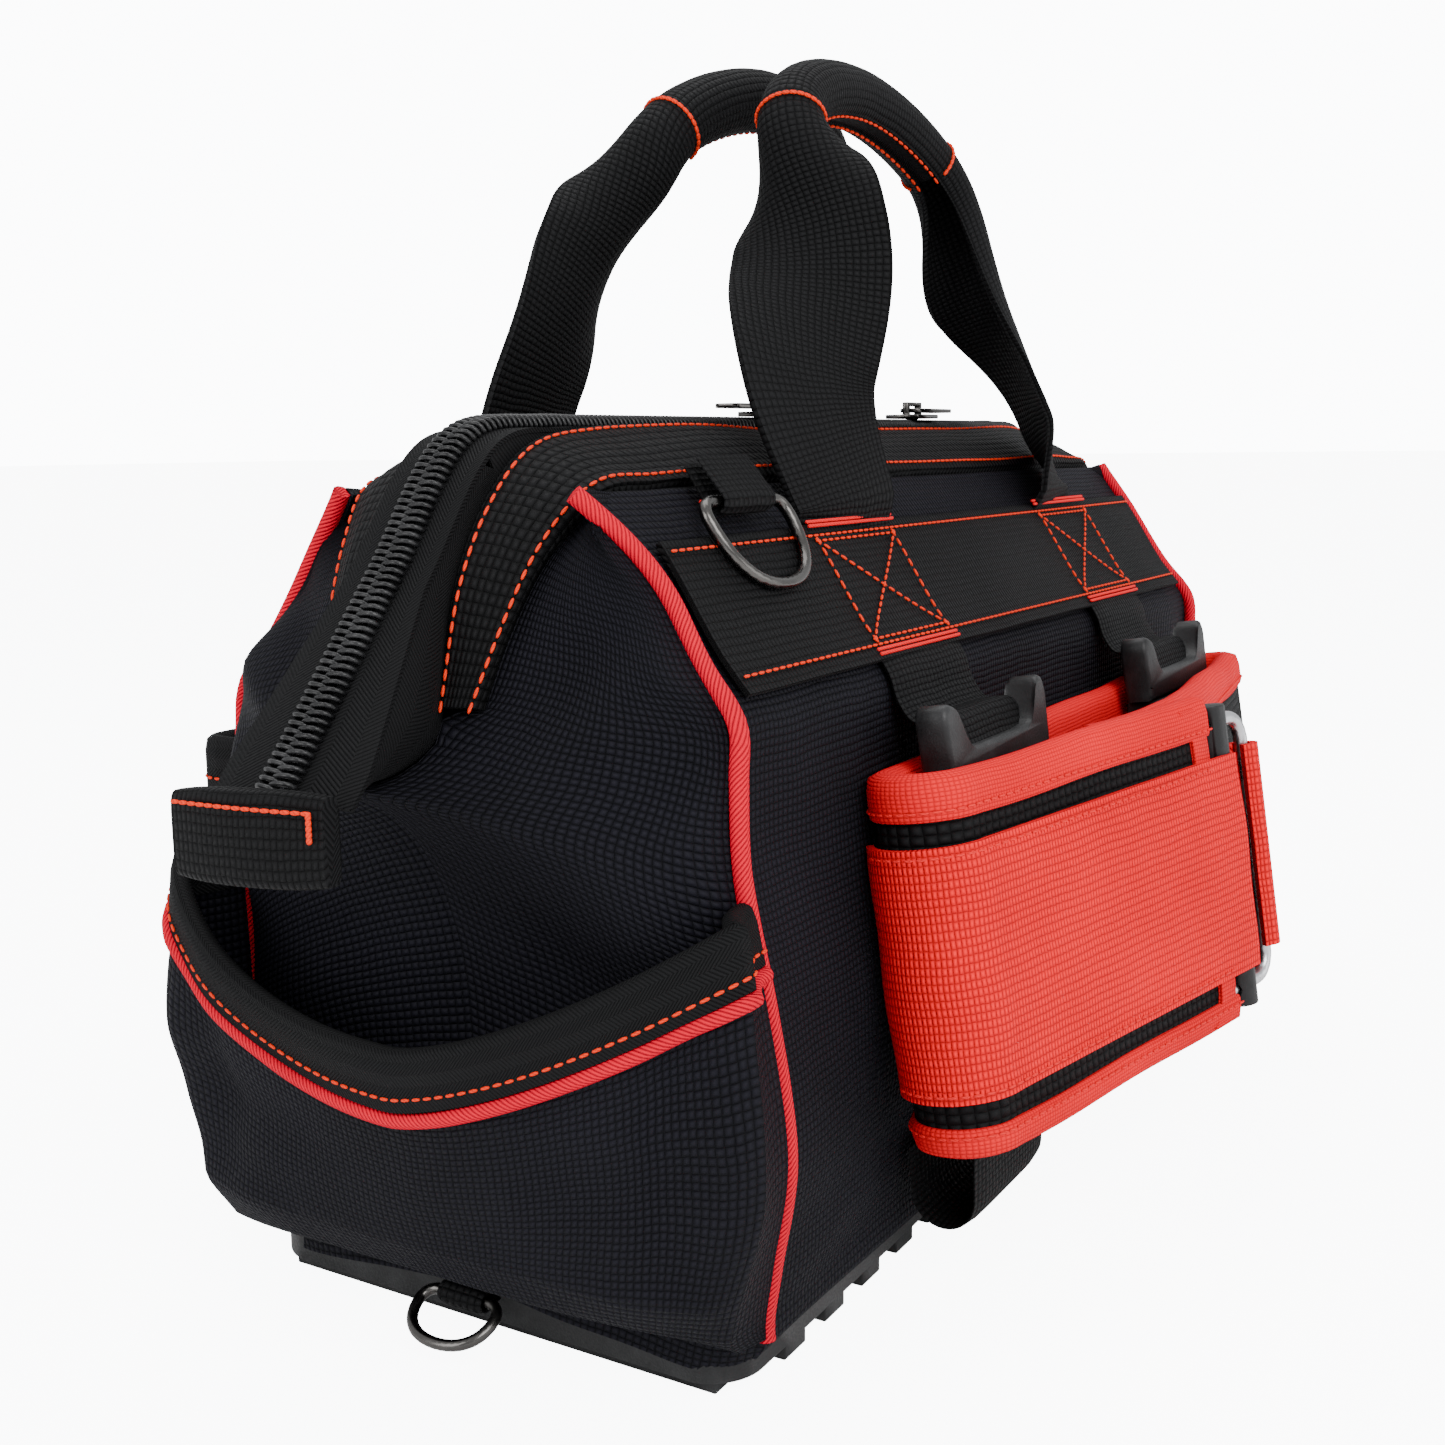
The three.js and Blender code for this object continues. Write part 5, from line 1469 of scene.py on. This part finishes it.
def grip(side):
    line, face, side_way, radius, drop, from_foot = handle_shapes[side]
    inside = from_foot > GRIP_START
    core = line[inside] + face[inside] * (drop[inside] - radius[inside])[:, None]
    full = 8.3 * np.sin(np.linspace(0.25, math.pi - 0.25, len(core))) ** 0.12
    piece = tube(f"{side}_grip_core", core, full, black_tape, 20)
    with_bodies(piece, f"{side}_handle", [f"{side}_grip"])
    below = core - face[inside] * 8.9
    rows = [below + side_way[inside] * way * 3.4 for way in (-1, 1)]
    crossing = []
    for at in np.flatnonzero(inside)[[0, -1]]:
        angles = np.linspace(-2.35, 2.35, 26)
        r = radius[at] + 1.4
        base = line[at] + face[at] * (drop[at] - radius[at])
        row = base + side_way[at] * (r * np.sin(angles))[:, None] + face[at] * (r * np.cos(angles))[:, None]
        crossing.append(row)
    stitches(f"{side}_grip_seam", rows, f"{side}_handle", pitch=3.4, length=2.6, thick=0.9)
    stitches(f"{side}_grip_ends", crossing, f"{side}_handle", pitch=2.1, length=2.3, thick=1.2)


for side, _ in SIDES:
    grip(side)
print("handles made")

# %% [markdown]
# ### Loops that hold the rings
# Each ring hangs in a short loop of narrow webbing. The loop is a strap bent round the
# ring's straight bar, with its two tails sewn flat to the bag.


# %% Ring loops
def bent_loop(name, centre, ahead, outward, width, tail, radius, body, replaces):
    """A strap round a bar at centre: its tails run along ahead."""
    centre, ahead, outward = (np.array(v, float) for v in (centre, ahead, outward))
    ahead, outward = unit(ahead), unit(outward)
    turn = np.radians(np.linspace(90, 270, 17))
    bend = [centre + radius * (ahead * math.cos(a) + outward * math.sin(a)) for a in turn]
    line = [centre + ahead * tail + outward * radius * 0.5, *bend, centre + ahead * tail - outward * radius]
    line = evenly(line, 40)
    across = unit(np.cross(ahead, outward))
    facing = unit(np.cross(directions(line), across))
    piece = strap(name, line, np.broadcast_to(across, line.shape), facing, width, 1.5, ribbed_webbing)
    with_bodies(piece, body, [replaces])


RING_X, RING_Y, RING_Z = 127, 48.286, 209.719
for side, sign in SIDES:
    place, outward = (RING_X * sign, RING_Y * sign, RING_Z), (0, sign * 0.83, 0.55)
    up_slope = unit([0, -sign * 0.55, 0.83])
    bent_loop(f"{side}_ring_strap", place, up_slope, outward, 25, 12, 2.7, f"{side}_mouth", f"{side}_ring_loop")
    bar = segment(sign, (RING_X * sign - 12, 208), (RING_X * sign + 12, 208), 2.6)
    bars = [bar, bar + np.array([0, 0, -1.0])]
    stitches(f"{side}_ring_bar", bars, f"{side}_mouth", red_thread, **THICK_TACK)
for end, way in ENDS:
    place, inward = (way * 187, 0, 12), (-way, 0, 0)
    bent_loop(f"{end}_base_strap", place, inward, (0, 0, -1), 14, 5.5, 2.4, "bag_body", f"{end}_base_loop")
print("ring loops made")

# %% [markdown]
# ## Belt roll
# The belt is a long padded strap, folded flat and clipped to the bag. Seen from above
# it starts inside, runs to the far fold, comes back along the bag, turns at the near
# fold and ends in front. It leans with the bag, so its shape is drawn in a frame of
# its own and then tilted into place.

# %% Belt frame and route
LEAN = 0.148
BELT_BACK, BELT_MIDDLE = -85.0, 93.0
NEAR_FOLD, FAR_FOLD = -112.0, 140.0
NEAR_RADIUS, FAR_RADIUS = 10.5, 10.0
PAD = 6.0


def tilted(points):
    """From the belt's own frame to the bag's."""
    p = np.asarray(points, float)
    y = BELT_BACK + p[..., 1] * math.cos(LEAN) + p[..., 2] * math.sin(LEAN)
    z = BELT_MIDDLE + p[..., 2] * math.cos(LEAN) - p[..., 1] * math.sin(LEAN)
    return np.stack([p[..., 0], y, z], -1)


def belt_route():
    rear = -PAD / 2
    far_turn = arc((FAR_FOLD, rear - FAR_RADIUS), FAR_RADIUS, -90, 90, 15)
    near_turn = arc((NEAR_FOLD, rear - NEAR_RADIUS), NEAR_RADIUS, 90, 270, 15)
    inner = [(-45, -33), (-20, -41), (0, -44.0), (30, -40.4)]
    return evenly(np.vstack([inner, far_turn, near_turn, [(-4, -51)]]), 330)


belt_plan = belt_route()
belt_ahead = directions(belt_plan)
belt_left = np.stack([belt_ahead[:, 1], -belt_ahead[:, 0]], 1)
print("belt length along its fold, mm:", round(length_of(belt_plan)))


def along_belt(offset, height):
    """A line that follows the whole belt at an offset from its middle layer, at one height."""
    return np.column_stack([belt_plan + belt_left * offset, np.full(len(belt_plan), height)])


# %% [markdown]
# ### Pad, binding and webbing
# The pad is foam between two layers of black mesh. A folded strip of red cloth binds
# its edges all round. On the belt's front end a wide red webbing is stitched over the
# pad, so a stripe of black mesh shows above and below it.


# %% Belt pieces
WAVE, WAVE_STEP, HALF_HEIGHT = 0.5, 2.1, 47.5
HALF_PAD = PAD / 2


def outline_along(section):
    """Carries a section of (offset, height) points along the belt, whose edges wave a little."""
    distance = np.arange(len(belt_plan)) * WAVE_STEP
    swing = WAVE * (np.sin(distance / 31.0 + 5) + 0.6 * np.sin(distance / 13.0 + 10))
    rings = []
    for point, way, lift in zip(belt_plan, belt_left, swing):
        rings.append([(*(point + way * a), z + lift * abs(z) / HALF_HEIGHT) for a, z in section])
    return tilted(rings)


pad_section = [(HALF_PAD, -44), (HALF_PAD + 0.5, 0), (HALF_PAD, 44), (HALF_PAD - 1, 46), (1 - HALF_PAD, 46)]
pad_section += [(-a, -z) for a, z in pad_section]
pad = swept("belt_pad_mesh", outline_along(pad_section), mesh_webbing, 60)
with_bodies(pad, "bag_body", ["belt_pad"])


def binding_section(sign):
    """The folded strip over one long edge of the belt, seen from its end."""
    start = 37.0 if sign > 0 else 40.5
    outer = [(HALF_PAD + 1.1, start), (HALF_PAD + 1.5, start + 1), (HALF_PAD + 1.4, 44.0)]
    outer += [(HALF_PAD + 0.6, 47.4), (0.8, 48.6)]
    inner = [(-HALF_PAD - 0.2, start - 0.2), (HALF_PAD + 0.2, start - 0.2)]
    points = outer + [(-a, z) for a, z in outer[::-1]] + inner
    return [(a, sign * z) for a, z in points]


for name, sign in (("top", 1), ("bottom", -1)):
    binding = swept(f"belt_{name}_binding", outline_along(binding_section(sign)), red_binding, 60)
    with_bodies(binding, "bag_body")


END_HEIGHT = 46.5


def end_binding(name, row, way):
    """The strip that closes an end of the belt."""
    section = [(-9, HALF_PAD + 1.3), (-1.0, HALF_PAD + 1.2), (1.2, 0.8), (1.2, -0.8)]
    section += [(-1.0, -HALF_PAD - 1.2), (-9, -HALF_PAD - 1.3), (-9, 0)]
    point = belt_plan[row]
    ahead, left = belt_ahead[row] * way, belt_left[row]
    rings = []
    for height in np.linspace(-END_HEIGHT, END_HEIGHT, 40):
        tuck = 6 * (abs(height) / END_HEIGHT) ** 12
        rings.append([(*(point + ahead * (a - tuck) + left * b), height) for a, b in section])
    piece = swept(name, tilted(rings), red_binding, 60)
    with_bodies(piece, "bag_body")


end_binding("belt_front_end_binding", -1, 1)
end_binding("belt_inner_end_binding", 0, -1)
print("pad and bindings made")

# %% [markdown]
# ### Front webbing
# The wide webbing starts at the near fold, lies on the pad, and wraps the belt's front
# end. It is one strip with a slight belly and ripples across its width.

# %% Webbing on the belt's front
WEB_START = int(np.flatnonzero(belt_plan[:, 0] < NEAR_FOLD - 3)[0])
WEB_OUT, WEB_ROWS, WEB_LOW, WEB_HIGH = 5.0, 90, -33.5, 30.5
web_plan = belt_plan[WEB_START:] + belt_left[WEB_START:] * WEB_OUT
web_plan = np.vstack([web_plan, web_plan[-1] + belt_ahead[-1] * 11.0])
web_line = evenly(np.column_stack([web_plan, np.zeros(len(web_plan))]), WEB_ROWS)
web_ahead = directions(web_line)
web_facing = np.column_stack([web_ahead[:, 1], -web_ahead[:, 0], np.zeros(WEB_ROWS)])
heights = np.linspace(WEB_LOW, WEB_HIGH, 21)
rings = []
for point, out in zip(web_line, web_facing):
    belly = 0.6 * np.cos(heights / 34 * math.pi / 2) + 0.25 * np.sin(heights / 5.5 + point[0] / 40)
    front = [point + out * (1.0 + b) + [0, 0, h] for b, h in zip(belly, heights)]
    back = [point + out * (b - 1.0) + [0, 0, h] for b, h in zip(belly, heights)]
    rings.append(front + back[::-1])
webbing_piece = swept("belt_front_webbing", tilted(rings), red_webbing, 60)
with_bodies(webbing_piece, "bag_body", ["belt_webbing"])
print("front webbing, mm:", round(length_of(web_line)), "x", WEB_HIGH - WEB_LOW)

# %% [markdown]
# ### Belt stitching
# Red thread runs along both bindings for the whole length of the belt, and along both
# edges of the front webbing.

# %% Rows on the bindings and the webbing
RED_ROW = {"material": red_thread, "pitch": 3.2, "thick": 0.7, "slot": "red_webbing"}
rows = [tilted(along_belt(HALF_PAD + 1.75, z)) for z in (39.2, -42.4)]
stitches("belt_binding_stitches", rows, "bag_body", length=2.6, **RED_ROW)
on_webbing = web_line[4:-9] + web_facing[4:-9] * 1.5
rows = [tilted(on_webbing + [0, 0, z]) for z in (28.2, -31.2)]
stitches("belt_webbing_stitches", rows, "bag_body", length=2.5, **RED_ROW)
print("belt stitched with", len(rows) * 2, "rows")

# %% [markdown]
# ### Adjuster strap
# The frame's closed side is held by a narrower red strap, folded round the wire. It is
# drawn round the wire at the origin, and then turned and moved to the belt's end.

# %% Adjuster strap
front_way = belt_ahead[-1]
bar_at = belt_plan[-1] + front_way * 8.0
turn = math.atan2(front_way[1], front_way[0])


def beside_bar(points):
    """From the adjuster's own frame, with its bar at the origin, to the bag's."""
    p = np.asarray(points, float)
    x = bar_at[0] + p[..., 0] * math.cos(turn) - p[..., 1] * math.sin(turn)
    y = bar_at[1] + p[..., 0] * math.sin(turn) + p[..., 1] * math.cos(turn)
    return tilted(np.stack([x, y, p[..., 2]], -1))


FOLD_RADIUS, FOLD_X, TAIL_X = 3.9, 17, 13.5
tail = FOLD_RADIUS * 0.55
bend = arc((FOLD_X, 0), FOLD_RADIUS, 100, -100, 15)
fold_line = evenly(np.vstack([[(TAIL_X, tail)], bend, [(TAIL_X, -tail)]]), 30)
heights = np.linspace(-31, 31, 15)
sections = []
for point, way in zip(fold_line, directions(fold_line)):
    out = np.array([way[1], -way[0]]) * 1.1
    sections.append([(*(point - out), h) for h in heights] + [(*(point + out), h) for h in heights[::-1]])
piece = swept("adjuster_strap", beside_bar(sections), red_webbing, 60)
with_bodies(piece, "bag_body", ["belt_frame_strap"])
print("adjuster strap folded over", round(length_of(fold_line)), "mm")

# %% [markdown]
# ## Buckle straps
# Each buckle hangs on 50 mm webbing that comes out from under the band. Its upper half
# shows above the belt as a bar between two horns, drawn as one outline with rounded
# edges. Below the roll a second strap runs from the lower half of the buckle to the
# foot of the bag, with a slack fold under the belt.


# %% Buckle horns and straps
STRAP_WIDTH, STRAP_THICK = 50.0, 2.0


def yz_strap(name, line, x, replaces):
    """A strap whose line of (y, z) points lies in one plane across the bag, at x."""
    count = len(line)
    spatial = np.column_stack([np.full(count, float(x)), line])
    ahead = directions(spatial)
    across = np.broadcast_to([1.0, 0, 0], spatial.shape)
    facing = unit(np.cross(ahead, across))
    piece = strap(name, spatial, across, facing, STRAP_WIDTH, STRAP_THICK, ribbed_webbing)
    with_bodies(piece, "bag_body", replaces)


def leaned(y, z):
    """A (y, z) point of the belt's own frame, in the bag's."""
    return tilted([0, y, z])[1:]


def buckle_horns(end, x):
    """The buckle's upper half: a front bar between two rounded horns that stand up."""
    horn = [(34, 42), (34.3, 49), (34.8, 56), (34.6, 61), (32.4, 63.2), (29.4, 62.4)]
    horn += [(27.2, 59.0), (25.2, 55.4), (22.6, 52.4)]
    right = smooth_curve([(a, 0, b) for a, b in horn], 22)[:, [0, 2]]
    bar = np.array([(19.5, 51.0), (12, 50.6), (-12, 50.6), (-19.5, 51.0)])
    outline = np.vstack([right, bar, right[::-1] * [-1, 1]])
    middle = np.array([0, 46.0])
    rings = []
    for y, shrink in ((-11.0, 1.2), (-11.4, 0.4), (-12.2, 0.0), (-18.8, 0.0), (-19.8, 0.5), (-20.3, 1.4)):
        scaled = outline - np.sign(outline - middle) * shrink
        rings.append([(x + a, y, b) for a, b in scaled])
    piece = swept(f"{end}_buckle_horns", tilted(rings), black_plastic, 45)
    with_bodies(piece, "bag_body", [f"{end}_buckle_upper"])


for (end, _), x in zip(ENDS, ANCHORS):
    buckle_horns(end, x)

BUCKLE_Y = -15.0
from_band = [(-70.0, 172.0), (-75.6, 164.0), (-78.2, 157.0), (-82.5, 152.0)]
upper = smooth_curve([*from_band, leaned(BUCKLE_Y + 1.5, 58), leaned(BUCKLE_Y - 1.5, 50.0)], 46)
down = evenly([leaned(-8.5, 36), leaned(-8.5, -47.5), (-101, 24)], 40)
lower = evenly(np.vstack([down[:-1], arc((-92, 24), 9, 180, 360, 17), [(-82.3, 36)]]), 90)
for (end, _), x in zip(ENDS, ANCHORS):
    yz_strap(f"{end}_buckle_strap", upper, x, [f"{end}_upper_strap"])
    yz_strap(f"{end}_foot_strap", lower, x, [f"{end}_lower_strap"])
print("buckle straps made")
